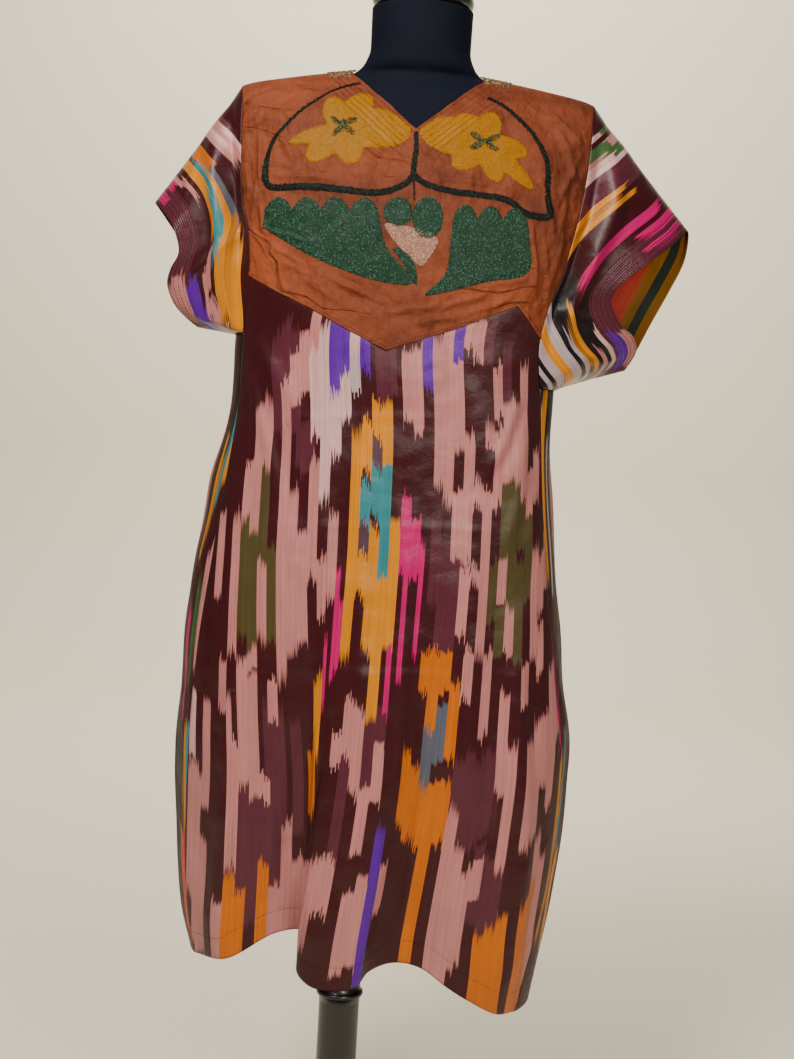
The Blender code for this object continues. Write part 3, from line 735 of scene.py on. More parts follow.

# Where each hue was dyed on the front: the middle bundle, counted from the centre, the number of bundles,
# and the low and high end in mm above the floor. Later runs lie over earlier ones. The pale and white runs
# high on the chest are not dye but painted highlight, the satin's sheen there.
FRONT_RUNS = {
    "plum": [
        (-10, 3, 970, 1080), (-8, 2, 930, 980), (-13, 3, 410, 560), (-11, 2, 390, 660), (-9, 1, 510, 640),
        (-2, 1, 480, 600), (0.5, 2, 570, 660), (0, 2, 1010, 1080), (5, 1, 790, 880), (6.5, 2, 720, 850),
        (10.5, 4, 510, 610), (13, 3, 410, 500), (10, 1, 1050, 1100), (12, 1, 1010, 1060),
    ],
    "pink": [
        # left of the centre
        (-19.5, 2, 410, 570), (-18.5, 2, 350, 490), (-18, 1, 530, 650), (-17, 1, 770, 860), (-16, 1, 340, 420),
        (-16, 1, 650, 700), (-15, 1, 710, 860), (-15, 1, 460, 660), (-14, 1, 850, 920), (-14, 1, 560, 700),
        (-13, 1, 840, 1000), (-13, 1, 710, 750), (-13, 1, 560, 700), (-12, 1, 720, 990), (-12, 1, 540, 560),
        (-11, 1, 650, 690), (-11, 1, 380, 450), (-10, 1, 970, 1010), (-10, 1, 680, 970), (-10, 1, 430, 510),
        (-9, 1, 1000, 1050), (-9, 1, 720, 900), (-8, 1, 1020, 1080), (-8, 1, 740, 860), (-7, 1, 1010, 1110),
        (-7, 1, 810, 940), (-7.5, 8, 370, 430), (-6.5, 6, 400, 480), (-6, 1, 760, 820), (-5, 1, 790, 880),
        # the centre
        (-3, 1, 590, 620), (-3, 1, 440, 470), (-2, 1, 600, 660), (-2.5, 2, 420, 480), (-1, 1, 570, 660),
        (0, 1, 500, 570), (0, 1, 360, 450), (1, 1, 560, 620), (1, 1, 370, 470), (2, 1, 990, 1060),
        (3, 1, 980, 1070), (3, 1, 440, 490),
        # right of the centre
        (5, 1, 920, 1080), (6, 1, 900, 1100), (7, 1, 960, 1100), (7, 1, 840, 910), (8, 1, 1070, 1100),
        (8, 1, 830, 970), (8, 1, 750, 820), (9, 1, 1060, 1100), (9, 1, 810, 920), (9, 1, 680, 730),
        (9, 1, 340, 550), (10, 1, 720, 980), (10, 1, 320, 500), (11, 1, 1000, 1050), (11, 1, 900, 980),
        (11, 1, 640, 730), (11, 1, 370, 480), (12, 1, 870, 1000), (12, 1, 780, 830), (12, 1, 440, 480),
        (13, 1, 880, 1020), (13, 1, 740, 790), (13, 1, 580, 690), (14, 1, 940, 1050), (14, 1, 480, 620),
        (15, 3, 900, 950), (15, 1, 850, 880), (15, 1, 690, 730), (16, 1, 720, 840), (16, 1, 500, 620),
        (17.5, 2, 790, 850), (17, 1, 720, 770), (17, 1, 530, 660), (19.5, 2, 620, 720), (18.5, 2, 560, 640),
        (18.5, 2, 340, 500),
    ],
    # The runs from -7 to -3 high on the chest are painted highlight: the satin's sheen on pink, painted as
    # pale.
    "pale": [
        (-20, 1, 580, 650), (-7, 1, 970, 1060), (-6, 1, 890, 1080), (-5, 1, 950, 1060), (-4, 1, 980, 1070),
        (-3, 1, 1040, 1100),
    ],
    # This white run on the chest is painted highlight too, the brightest of the satin's sheen there.
    "white": [(-3, 1, 1000, 1040)],
    "maroon": [
        (-14.75, 0.5, 610, 660), (-3, 1, 970, 1000), (9, 1, 830, 890), (10, 1, 910, 950), (16, 1, 290, 420),
    ],
    "orange": [
        (-15, 1, 340, 450), (-14, 1, 340, 430), (-12, 1, 360, 460), (-7, 2, 540, 610), (6, 3, 690, 730),
        (6, 1, 580, 690), (8, 1, 610, 690), (4.5, 2, 520, 600), (7, 3, 510, 580), (7, 1, 360, 520),
        (13.5, 2, 300, 410), (15, 1, 290, 440), (17.5, 2, 280, 450),
    ],
    "slate": [(6, 1, 580, 640), (7, 1, 610, 670)],
    "yellow": [
        (-6.25, 1.5, 600, 690), (-3, 1, 710, 960), (-2, 1, 920, 970), (-1, 1, 960, 1000), (0, 1, 860, 1000),
        (-1, 3, 780, 860), (-1, 1, 730, 860), (0, 1, 650, 810), (1, 1, 730, 870),
    ],
    "teal": [(-2, 1, 860, 900), (-0.5, 2, 880, 930), (0, 1, 810, 880)],
    "olive": [
        (-13.5, 2, 730, 860), (-12, 1, 810, 910), (-11, 1, 740, 840), (11, 1, 770, 830), (12, 1, 830, 910),
        (12, 1, 720, 770), (13, 1, 790, 930), (14.5, 2, 850, 900), (14, 1, 720, 830), (15, 1, 810, 850),
    ],
    "magenta": [
        (-5.25, 0.5, 670, 740), (-4.25, 0.5, 690, 810), (-3.75, 0.5, 700, 770), (1.25, 0.5, 660, 730),
        (2, 1, 820, 900), (3, 1, 820, 880), (2.25, 0.5, 700, 820), (3.75, 0.5, 710, 830),
    ],
    "violet": [
        (-5, 1, 1020, 1100), (-4, 1, 1030, 1110), (-2, 1, 1030, 1090), (4, 1, 1010, 1080), (7, 1, 1060, 1100),
        (2, 1, 340, 530),
    ],
    "slate plum": [(-1, 1, 935, 960), (-2, 1, 830, 855)],
}
WIDE = BUNDLE * 1000
FRONT_MOTIFS = [
    (hue, middle * WIDE, (low + high) / 2, wide * WIDE / 2, (high - low) / 2)
    for hue, runs in FRONT_RUNS.items()
    for middle, wide, low, high in runs
]
# The back starts higher up, at its straight yoke
BACK_MOTIFS = [
    ("pink", -150, 1100, 12, 60),
    ("pink", -104, 1120, 12, 56),
    ("pink", -70, 1136, 10, 60),
    ("magenta", -12, 1120, 8, 50),
    ("violet", -34, 1104, 5, 36),
    ("pink", 34, 1128, 12, 56),
    ("pink", 74, 1116, 16, 60),
    ("violet", 56, 1120, 5, 36),
    ("olive", 112, 1130, 6, 40),
    ("pink", 138, 1110, 12, 60),
]
# A gore's first number runs from its front seam to its back one
LEFT_GORE_MOTIFS = [
    ("maroon", -68, 1000, 40, 130),
    ("black", -60, 1010, 4, 110),
    ("yellow", -74, 990, 4, 90),
    ("teal", -65, 960, 4, 90),
    ("yellow", -55, 890, 5, 70),
    ("pink", -84, 760, 8, 70),
    ("green", -74, 740, 2, 60),
    ("green", -66, 720, 1.5, 60),
    ("magenta", -52, 690, 7, 60),
    ("violet", -86, 500, 5, 60),
    ("yellow", -66, 520, 5, 90),
    ("teal", -74, 560, 3, 60),
    ("black", -40, 560, 10, 130),
    ("coral", -54, 430, 8, 60),
    ("pink", 10, 480, 16, 110),
    ("yellow", 36, 760, 5, 200),
    ("teal", 46, 700, 4, 160),
    ("magenta", 62, 560, 5, 160),
    ("pink", -14, 930, 14, 90),
]
RIGHT_GORE_MOTIFS = [
    ("black", -70, 960, 40, 170),
    ("yellow", -82, 960, 4, 110),
    ("white", -74, 900, 3, 110),
    ("yellow", -62, 940, 4, 120),
    ("white", -50, 880, 2.5, 90),
    ("magenta", -66, 700, 5, 90),
    ("pink", -78, 640, 7, 70),
    ("black", -72, 500, 12, 110),
    ("yellow", -60, 500, 5, 110),
    ("teal", -50, 560, 3, 70),
    ("yellow", -40, 420, 4, 60),
    ("pink", 12, 460, 16, 110),
    ("yellow", 34, 740, 5, 200),
    ("white", 46, 690, 2, 160),
    ("magenta", 60, 600, 5, 160),
    ("pink", -16, 900, 14, 90),
]
# A sleeve's first number is the distance from the cuff, its second the way round from the top by the front
LEFT_SLEEVE_MOTIFS = [
    ("plum", 14, 230, 14, 300),
    ("maroon", 140, 230, 17, 300),
    ("magenta", 12, 18, 4, 10),
    ("magenta", 30, 20, 4, 12),
    ("pink", 40, 30, 6, 16),
    ("yellow", 58, 62, 5, 62),
    ("orange", 78, 40, 6, 26),
    ("yellow", 70, 120, 7, 66),
    ("yellow", 84, 176, 6, 54),
    ("teal", 68, 60, 3.5, 26),
    ("teal", 62, 112, 4, 26),
    ("slate", 76, 92, 3, 18),
    ("pink", 111, 30, 11, 46),
    ("pale", 104, 24, 3, 34),
    ("pale", 120, 60, 3, 30),
    ("violet", 36, 190, 12, 28),
    ("violet", 22, 220, 5, 20),
    ("pink", 12, 176, 9, 30),
    ("pink", 56, 206, 9, 26),
    ("pale", 72, 226, 4, 24),
    ("pink", 50, 150, 5, 18),
    ("magenta", 32, 330, 4, 26),
    ("yellow", 70, 356, 6, 62),
    ("teal", 62, 350, 3, 34),
    ("violet", 94, 306, 5, 30),
    ("pink", 108, 400, 11, 58),
]
RIGHT_SLEEVE_MOTIFS = [
    ("plum", 14, 230, 14, 300),
    ("pink", 134, 46, 22, 66),
    ("pale", 122, 36, 4, 50),
    ("pale", 150, 40, 4, 50),
    ("green", 126, 26, 3.5, 12),
    ("green", 138, 34, 3.5, 14),
    ("green", 150, 30, 3, 12),
    ("maroon", 132, 60, 2, 60),
    ("maroon", 145, 66, 2, 60),
    ("maroon", 158, 60, 3, 60),
    ("plum", 100, 40, 14, 60),
    ("yellow", 78, 96, 5, 46),
    ("yellow", 90, 88, 3.5, 40),
    ("magenta", 12, 40, 3, 34),
    ("magenta", 30, 36, 4, 40),
    ("magenta", 46, 58, 7, 50),
    ("black", 84, 190, 50, 60),
    ("white", 118, 150, 3.5, 46),
    ("white", 104, 164, 3.5, 46),
    ("yellow", 92, 176, 4, 44),
    ("white", 80, 190, 4, 40),
    ("white", 68, 200, 3, 34),
    ("yellow", 56, 186, 4, 34),
    ("pink", 44, 200, 4, 30),
    ("pale", 32, 206, 4, 26),
    ("violet", 18, 208, 7, 26),
    ("pink", 5, 206, 4, 26),
    ("magenta", 34, 330, 4, 30),
    ("yellow", 76, 350, 6, 60),
    ("teal", 66, 350, 3, 36),
    ("pink", 126, 400, 13, 60),
]
REVERSE_MOTIFS = [
    ("maroon", 2, 230, 3, 240),
    ("gold", 20, 230, 18, 240),
    ("pine", 18, 230, 7, 240),
    ("coral", 60, 230, 22, 240),
    ("gold", 100, 230, 10, 240),
]

front_satin = ikat("ikat silk satin, front", FRONT_MOTIFS)
back_satin = ikat("ikat silk satin, back", FRONT_MOTIFS + BACK_MOTIFS, flip=-1.0, raise_by=-0.012)
left_gore_satin = ikat("ikat silk satin, left gore", LEFT_GORE_MOTIFS)
right_gore_satin = ikat("ikat silk satin, right gore", RIGHT_GORE_MOTIFS)
quilted = {"slips": SLEEVE_SLIPS, "puckers": CUFF_DEPTH}
left_sleeve_satin = ikat("ikat silk satin, left sleeve", LEFT_SLEEVE_MOTIFS, **quilted)
right_sleeve_satin = ikat("ikat silk satin, right sleeve", RIGHT_SLEEVE_MOTIFS, **quilted)
satin_reverse = ikat("ikat silk satin, reverse", REVERSE_MOTIFS, slips=SLEEVE_SLIPS, reverse=True)
print("motifs on the front:", len(FRONT_MOTIFS))

# %% [markdown]
# ## Front, back and side gores
# The front hangs from under the yoke's pointed edge. Its warp runs straight down, so it narrows by its
# cut, not by its pattern. The gores between front and back are cut from striped lengths of the same kind
# of cloth.

# %% Front, back and side gores
HEM_TURN = 0.027
HEM_GROOVE = 0.0004
GROOVE_WIDTH = 0.0012
TUCK = 0.005
UNDER_YOKE = 0.0011
UNDER_YOKE_EASE = 0.003
SEAM_FADE = 0.022
TOP_FADE = 0.030
SWELL = 0.0016
SWELL_SIZE = 0.11
OUTWARD = {-1: 1, 1: -1, "left": -1, "right": 1}

# Lines on the cloth in metres: from u, v, to u, v, half width and height of the ridge
FRONT_CREASES = [
    (-0.155, 1.070, -0.100, 0.985, 0.010, 0.0016),
    (-0.165, 1.030, -0.125, 0.900, 0.008, 0.0024),
    (-0.062, 1.060, -0.078, 0.820, 0.014, 0.0030),
    (0.066, 1.045, 0.080, 0.800, 0.016, -0.0030),
    (0.158, 1.020, 0.112, 0.930, 0.007, 0.0024),
    (0.166, 0.985, 0.140, 0.840, 0.010, 0.0028),
    (-0.100, 0.860, -0.135, 0.420, 0.015, 0.0050),
    (-0.165, 0.760, -0.190, 0.380, 0.012, 0.0040),
    (-0.030, 0.930, -0.012, 0.620, 0.011, 0.0028),
    (0.020, 0.900, 0.034, 0.560, 0.012, 0.0030),
    (0.095, 0.820, 0.128, 0.350, 0.016, 0.0050),
    (0.165, 0.740, 0.196, 0.340, 0.013, 0.0045),
    (0.060, 0.700, 0.082, 0.380, 0.010, -0.0035),
    (-0.070, 0.640, -0.096, 0.390, 0.009, 0.0030),
    (-0.120, 0.980, 0.060, 0.992, 0.005, 0.0005),
    (-0.170, 0.862, 0.120, 0.868, 0.005, 0.0005),
    (-0.120, 0.700, 0.170, 0.706, 0.005, 0.0005),
]
BACK_CREASES = [
    (-0.100, 1.180, -0.112, 0.900, 0.014, 0.0030),
    (0.030, 1.170, 0.042, 0.840, 0.015, -0.0030),
    (0.120, 1.180, 0.128, 0.930, 0.012, 0.0030),
    (-0.150, 1.080, -0.105, 0.980, 0.007, 0.0022),
    (0.160, 1.050, 0.118, 0.960, 0.007, 0.0022),
    (-0.080, 0.880, -0.110, 0.400, 0.016, 0.0048),
    (0.070, 0.860, 0.100, 0.380, 0.015, 0.0046),
    (0.165, 0.780, 0.190, 0.370, 0.013, 0.0040),
    (-0.170, 0.760, -0.195, 0.400, 0.012, 0.0040),
    (-0.160, 0.868, 0.140, 0.862, 0.004, 0.0010),
    (-0.100, 1.010, 0.120, 1.000, 0.004, 0.0009),
]
GORE_CREASES = [
    (-0.010, 0.960, 0.004, 0.700, 0.010, 0.0024),
    (0.012, 0.780, 0.022, 0.420, 0.010, 0.0030),
    (-0.020, 0.640, -0.028, 0.380, 0.009, 0.0026),
]


def panel(stretch, cols, rows, top, hem, table, seed):
    """The grid of a skirt panel, its map and its heights."""
    across = np.linspace(0, 1, cols)
    end = hem(across)
    drop = end - flat_points(stretch, across, end[:, 2])
    t = np.linspace(0, 1, rows)[:, None]
    z = top(across) * (1 - t) + end[:, 2] * t
    weight = np.clip((FOLD_TOP - z) / (FOLD_TOP - end[:, 2]), 0.0, 1.0) ** FOLD_EASE
    grid = flat_points(stretch, across[None], z) + drop[None] * weight[..., None]
    wide = width_at(stretch, z)
    u = (across[None] - 0.5) * wide
    out = grid_normals(grid) * OUTWARD[stretch]
    to_seam = np.minimum(across, 1 - across)[None] * wide
    fade = smooth_step(to_seam / SEAM_FADE) * smooth_step((top(across) - z) / TOP_FADE)
    height = creases(u, z, table) + SWELL * unevenness(u, z, SWELL_SIZE, seed)
    turned = (np.abs(z - end[:, 2] - HEM_TURN) < GROOVE_WIDTH) * -HEM_GROOVE
    return grid + out * (fade * height + turned)[..., None], np.stack([u, z], axis=-1), z


def panel_piece(name, stretch, cols, rows, top, hem, table, seed, satin, node):
    grid, uv, z = panel(stretch, cols, rows, top, hem, table, seed)
    out = grid_normals(grid) * OUTWARD[stretch]
    if stretch in (-1, 1):
        across = np.linspace(0, 1, cols)
        edge = yoke_edge_z(across) if stretch == -1 else np.full(cols, BACK_YOKE_Z)
        under = smooth_step((z - edge + UNDER_YOKE_EASE) / UNDER_YOKE_EASE)
        grid = grid - out * (UNDER_YOKE * under)[..., None]
    piece = shell(name, grid, out, uv, satin, satin_reverse)
    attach(piece, "root")
    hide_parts(node)
    widest = float(np.ptp(uv[..., 0], axis=1).max())
    print(name, "widest", round(widest, 3), "area", round(grid_area(grid), 3))
    return piece, grid


def front_top(across):
    return yoke_edge_z(across) + TUCK


def back_top(across):
    return np.full(len(across), BACK_YOKE_Z + TUCK)


front, front_grid = panel_piece(
    "front_cloth", -1, 161, 221, front_top, front_hem, FRONT_CREASES, 11, front_satin, "front"
)
back, back_grid = panel_piece(
    "back_cloth", 1, 121, 171, back_top, back_hem, BACK_CREASES, 12, back_satin, "back"
)
gores = {}
for hand, stretch, satin in ((-1, "left", left_gore_satin), (1, "right", right_gore_satin)):
    gores[hand] = panel_piece(
        f"gore_{stretch}_cloth",
        stretch,
        41,
        181,
        lambda a: np.full(len(a), UNDERARM_Z[hand]),
        lambda a: side_hem(stretch, a),
        GORE_CREASES,
        13 + hand,
        satin,
        f"side_panel_{stretch}",
    )

# %% [markdown]
# ## The yoke
# Rust silk with a V neck. The lower edge comes to a point over the ikat, turned under and stitched down.
# The silk is soft and was pulled by the embroidery, so it has long slack wrinkles at the arms and short
# ones below the leaves.

# %% Yoke


def silk_material():
    material, tree, shader = new_material("rust silk")
    spot = add(tree, "ShaderNodeTexCoord").node.outputs["Object"]
    broad = noise(tree, spot, 7.0, 4.0, 0.6)
    small = noise(tree, spot, 40.0, 4.0, 0.65)
    wide = sums(tree, "MULTIPLY_ADD", broad, 2.4, -0.75)
    colour = mixed(tree, wide, tone("#4e2517"), tone("#92492c"))
    worn = sums(tree, "MULTIPLY_ADD", small, 1.6, -0.72)
    colour = mixed(tree, worn, colour, tone("#7a3f28"))
    # Thin lines along the wrinkles, in patches, mixed towards dark brown: painted shade in the fold lines. The
    # same lines also dent the surface further down.
    fold_lines_with_painted_shade = noise(tree, vectors(tree, "MULTIPLY", spot, (1.0, 1.0, 2.2)), 11.0, 1.0, 0.4)
    fold_lines_with_painted_shade = sums(tree, "ABSOLUTE", sums(tree, "SUBTRACT", fold_lines_with_painted_shade, 0.5))
    fold_lines_with_painted_shade = add(tree, "ShaderNodeMath", fold_lines_with_painted_shade, -38.0, 1.0, operation="MULTIPLY_ADD", use_clamp=True)
    patches_of_folds = add(tree, "ShaderNodeMath", broad, 5.0, -2.1, operation="MULTIPLY_ADD", use_clamp=True)
    fold_lines_with_painted_shade = sums(tree, "MULTIPLY", fold_lines_with_painted_shade, patches_of_folds)
    colour = mixed(tree, sums(tree, "MULTIPLY", fold_lines_with_painted_shade, 0.22), colour, tone("#3c1a0e"))
    tree.links.new(colour, shader.inputs["Base Color"])
    shader.inputs["Roughness"].default_value = 0.6
    shader.inputs["Specular IOR Level"].default_value = 0.12
    weave = tree.nodes.new("ShaderNodeTexVoronoi")
    weave.inputs["Scale"].default_value = 1400.0
    tree.links.new(spot, weave.inputs["Vector"])
    drawn_out = vectors(tree, "MULTIPLY", spot, (1.0, 1.0, 0.6))
    soft = bump(tree, noise(tree, drawn_out, 24.0, 3.0, 0.6), 0.014, 0.9)
    crumple = bump(tree, crumples(tree, spot, 24.0, 0.5), 0.0060, 0.9, bump(tree, fold_lines_with_painted_shade, -0.0040, 0.8, soft))
    fine = bump(tree, noise(tree, spot, 110.0, 3.0, 0.6), 0.0022, 0.8, crumple)
    place = tree.nodes.new("ShaderNodeSeparateXYZ")
    tree.links.new(spot, place.inputs[0])
    off = sums(tree, "ABSOLUTE", sums(tree, "SUBTRACT", place.outputs[0], V_POINT[0]))
    down = sums(tree, "MULTIPLY", sums(tree, "SUBTRACT", place.outputs[2], V_POINT[1]), NECK_SLANT[1])
    from_neck = sums(tree, "SUBTRACT", sums(tree, "MULTIPLY", off, NECK_SLANT[0]), down)
    near = sums(tree, "LESS_THAN", from_neck, NECK_ROWS[-1] + 0.003)
    in_front = sums(tree, "LESS_THAN", place.outputs[1], 0.0)
    turn = 2 * math.pi / NECK_PITCH
    row = sums(tree, "COSINE", sums(tree, "MULTIPLY_ADD", from_neck, turn, -turn * NECK_ROWS[0]))
    inward = sums(tree, "MULTIPLY", row, -1.0)
    gathers = sums(tree, "MULTIPLY", inward, sums(tree, "MULTIPLY", near, in_front))
    ridged = bump(tree, gathers, 0.0004, 0.7, fine)
    tree.links.new(bump(tree, weave.outputs["Distance"], 0.00012, 0.35, ridged), shader.inputs["Normal"])
    return material


NECK_PITCH = 0.0056
NECK_ROWS = 0.0030 + NECK_PITCH * np.arange(6)
NECK_SLANT = (0.664, 0.748)
rust_silk = silk_material()
NECK_COLS = 74
SHOULDER_COLS = 50
LIP = 0.0025
EDGE_ROLL = 0.0008
WRINKLE_RISE = 1.5
DEEPEST_WRINKLE = -0.0007

# Lines on the yoke in metres: from x, z, to x, z, half width and height of the ridge
YOKE_CREASES = [
    (-0.148, 1.338, -0.137, 1.240, 0.0036, 0.0022),
    (-0.127, 1.333, -0.105, 1.312, 0.0024, 0.0014),
    (-0.150, 1.262, -0.128, 1.180, 0.0030, 0.0018),
    (-0.142, 1.320, -0.152, 1.190, 0.0042, -0.0022),
    (-0.065, 1.141, -0.008, 1.120, 0.0030, 0.0024),
    (-0.041, 1.134, 0.016, 1.110, 0.0024, 0.0022),
    (-0.100, 1.150, -0.050, 1.128, 0.0030, 0.0018),
    (0.016, 1.104, 0.067, 1.112, 0.0030, 0.0022),
    (0.074, 1.112, 0.126, 1.132, 0.0030, 0.0020),
    (0.094, 1.104, 0.150, 1.126, 0.0030, 0.0018),
    (0.168, 1.210, 0.176, 1.140, 0.0036, 0.0026),
    (0.176, 1.200, 0.188, 1.110, 0.0036, -0.0022),
    (0.196, 1.318, 0.216, 1.262, 0.0042, 0.0020),
    (0.184, 1.338, 0.224, 1.306, 0.0030, 0.0016),
    (0.206, 1.260, 0.200, 1.190, 0.0036, 0.0016),
    (-0.019, 1.286, 0.008, 1.264, 0.0030, 0.0014),
    (0.050, 1.274, 0.086, 1.262, 0.0036, 0.0012),
    (-0.130, 1.190, -0.080, 1.176, 0.0024, 0.0014),
    (-0.120, 1.300, -0.098, 1.262, 0.0036, 0.0014),
    (-0.168, 1.332, -0.122, 1.350, 0.0030, 0.0022),
    (-0.164, 1.300, -0.128, 1.318, 0.0030, 0.0020),
    (-0.160, 1.282, -0.150, 1.226, 0.0030, 0.0024),
    (-0.138, 1.232, -0.156, 1.176, 0.0030, 0.0022),
    (-0.150, 1.196, -0.120, 1.160, 0.0030, 0.0020),
    (-0.118, 1.170, -0.078, 1.148, 0.0024, 0.0020),
    (-0.084, 1.136, -0.030, 1.108, 0.0030, 0.0020),
    (0.044, 1.092, 0.092, 1.104, 0.0030, 0.0022),
    (0.130, 1.142, 0.168, 1.150, 0.0030, 0.0018),
    (0.222, 1.300, 0.196, 1.236, 0.0036, 0.0022),
    (0.176, 1.262, 0.196, 1.196, 0.0030, 0.0018),
    (0.206, 1.210, 0.190, 1.130, 0.0036, 0.0020),
    (-0.112, 1.250, -0.040, 1.246, 0.0024, 0.0014),
    (0.060, 1.254, 0.130, 1.250, 0.0024, 0.0014),
    (-0.024, 1.300, 0.016, 1.276, 0.0030, 0.0016),
]


def yoke_height(face, x, z):
    """Height of the yoke's wrinkles, nothing at the shoulder and little at the armholes."""
    to_ridge = ridge_z(np.abs(x - NECK_X)) - z
    to_arm = np.minimum(x - seam_x(-1, z), seam_x(1, z) - x)
    fade = smooth_step(to_ridge / 0.03) * smooth_step(to_arm / 0.012)
    wrinkles = creases(x if face < 0 else 0.06 - x, z, YOKE_CREASES)
    swell = 0.0018 * unevenness(x, z, 0.06, 21 - face) + 0.0008 * unevenness(x, z, 0.022, 24 - face)
    return np.maximum(fade * (WRINKLE_RISE * wrinkles + swell), DEEPEST_WRINKLE)


def yoke_points(face, x, z, lift=0.0):
    """Points on the yoke, and outward directions, at places seen from the front."""
    x, z = np.asarray(x, float), np.asarray(z, float)
    base = np.stack([x, surface_y(face, x, z), z], axis=-1)
    out = body_normal(base)
    height = yoke_height(face, x, z) + CLOTH / 2 + lift
    return base + out * np.asarray(height)[..., None], out


def yoke_flat(face, edge_z, neck_point, rows):
    """x and z of a yoke's grid: each half is drawn between its four edges."""
    round_neck = np.linspace(0, NECK_SHARE, NECK_COLS)
    shares = np.concatenate([round_neck, np.linspace(NECK_SHARE, 1, SHOULDER_COLS)[1:]])
    halves = []
    for hand in (-1, 1):
        across = 0.5 + hand * shares / 2
        bottom = flat_points(face, across, edge_z(across) - LIP)[:, [0, 2]]
        neck = np.array([NECK_X + hand * NECK_HALF, float(ridge_z(NECK_HALF))])
        near = (1 - (1 - np.clip(shares / NECK_SHARE, 0, 1)) ** NECK_SPREAD)[:, None]
        far = (shares - NECK_SHARE) / (1 - NECK_SHARE)
        half = NECK_HALF + (body("half", TIP_Z) - NECK_HALF) * np.clip(far, 0, 1)
        top = np.where((shares < NECK_SHARE)[:, None], np.array(neck_point) * (1 - near) + neck * near, 0.0)
        shoulder = np.stack([NECK_X + hand * half, ridge_z(half)], axis=-1)
        top = np.where((shares < NECK_SHARE)[:, None], top, shoulder)
        steps = np.concatenate([0.975 * np.linspace(0, 1, rows) ** 1.3, np.linspace(0.979, 1, 7)])
        arm_z = TIP_Z + (bottom[-1, 1] - TIP_Z) * steps
        down = ((arm_z - TIP_Z) / (bottom[-1, 1] - TIP_Z))[:, None, None]
        arm = np.stack([seam_x(hand, arm_z), arm_z], axis=-1)[:, None]
        middle = top[0] + (bottom[0] - top[0]) * down
        s = shares[None, :, None]
        top_corners = top[0] * (1 - s) + top[-1] * s
        bottom_corners = bottom[0] * (1 - s) + bottom[-1] * s
        grid = (top[None] - top_corners) * (1 - down) + (bottom[None] - bottom_corners) * down
        halves.append(grid + middle * (1 - s) + arm * s)
    return np.concatenate([halves[0][:, :0:-1], halves[1]], axis=1)


def yoke_piece(name, face, edge_z, neck_point, node, rows):
    flat = yoke_flat(face, edge_z, neck_point, rows)
    x, z = flat[..., 0], flat[..., 1]
    base = np.stack([x, surface_y(face, x, z), z], axis=-1)
    out = body_normal(base)
    height = yoke_height(face, x, z)
    rolled = np.sin(np.pi * smooth_step((np.arange(len(flat)) - len(flat) + 8) / 9))
    height = height + EDGE_ROLL * rolled[:, None]
    grid = base + out * height[..., None]
    grid[0, :, 1] += face * 0.0002
    piece = shell(name, grid, out, np.stack([x, z], axis=-1), rust_silk, rust_silk)
    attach(piece, "root")
    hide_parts(node)
    print(name, "area", round(grid_area(grid), 3))
    return piece, grid


def back_yoke_edge(across):
    return np.full(np.shape(across), BACK_YOKE_Z)


back_point = (NECK_X, BACK_NECK_Z)
front_yoke, front_yoke_grid = yoke_piece("front_yoke_cloth", -1, yoke_edge_z, V_POINT, "front_yoke", 130)
back_yoke, back_yoke_grid = yoke_piece("back_yoke_cloth", 1, back_yoke_edge, back_point, "back_yoke", 50)

# %% [markdown]
# ## Sleeves
# Short, wide and flared. Their cloth is turned so that its warp runs round the arm, which puts the
# stripes parallel to the cuff. The cuff's hem is stiff with rows of stitching and stands in an S, since
# no arm fills it.

# %% Sleeves
SLEEVE_VALLEY = 0.010
VALLEY_AT = 0.14
VALLEY_WIDTH = 0.08
SLEEVE_CREST = 0.012
CREST_AT = 0.36
CREST_WIDTH = 0.12
FOLDS_ROUND = 0.84
FOLDS_FADE = 1.5
SLEEVE_ROUND = 0.46
ARMHOLE_GAP = 0.00015
SLEEVE_WAVES = 3
SLEEVE_WAVE = 0.0012

# Lines on a sleeve in metres: from (distance to the cuff, distance round from the top by the front) to
# the same
LEFT_SLEEVE_CREASES = [
    (0.150, 0.030, 0.060, 0.110, 0.007, 0.0030),
    (0.120, 0.100, 0.030, 0.150, 0.006, 0.0028),
    (0.090, 0.020, 0.028, 0.055, 0.006, 0.0022),
    (0.070, 0.160, 0.026, 0.200, 0.006, 0.0026),
    (0.140, 0.400, 0.050, 0.340, 0.008, 0.0030),
    (0.100, 0.300, 0.028, 0.270, 0.006, 0.0026),
]
RIGHT_SLEEVE_CREASES = [
    (0.160, 0.020, 0.070, 0.070, 0.007, 0.0030),
    (0.130, 0.060, 0.040, 0.120, 0.007, 0.0030),
    (0.110, 0.120, 0.030, 0.165, 0.006, 0.0026),
    (0.080, 0.180, 0.027, 0.215, 0.006, 0.0026),
    (0.150, 0.420, 0.050, 0.370, 0.008, 0.0030),
    (0.100, 0.300, 0.030, 0.260, 0.006, 0.0026),
]


def armhole_line(hand):
    """Down the front of the armhole, under the arm and up the back."""
    z = np.linspace(TIP_Z, UNDERARM_Z[hand], 90)
    x = seam_x(hand, z)
    down = np.stack([x, surface_y(-1, x, z), z], axis=-1)
    upward = np.stack([x, surface_y(1, x, z), z], axis=-1)[::-1]
    side = flat_points("left" if hand < 0 else "right", np.linspace(0, 1, 30), UNDERARM_Z[hand])
    return np.concatenate([down, side[1:-1], upward])


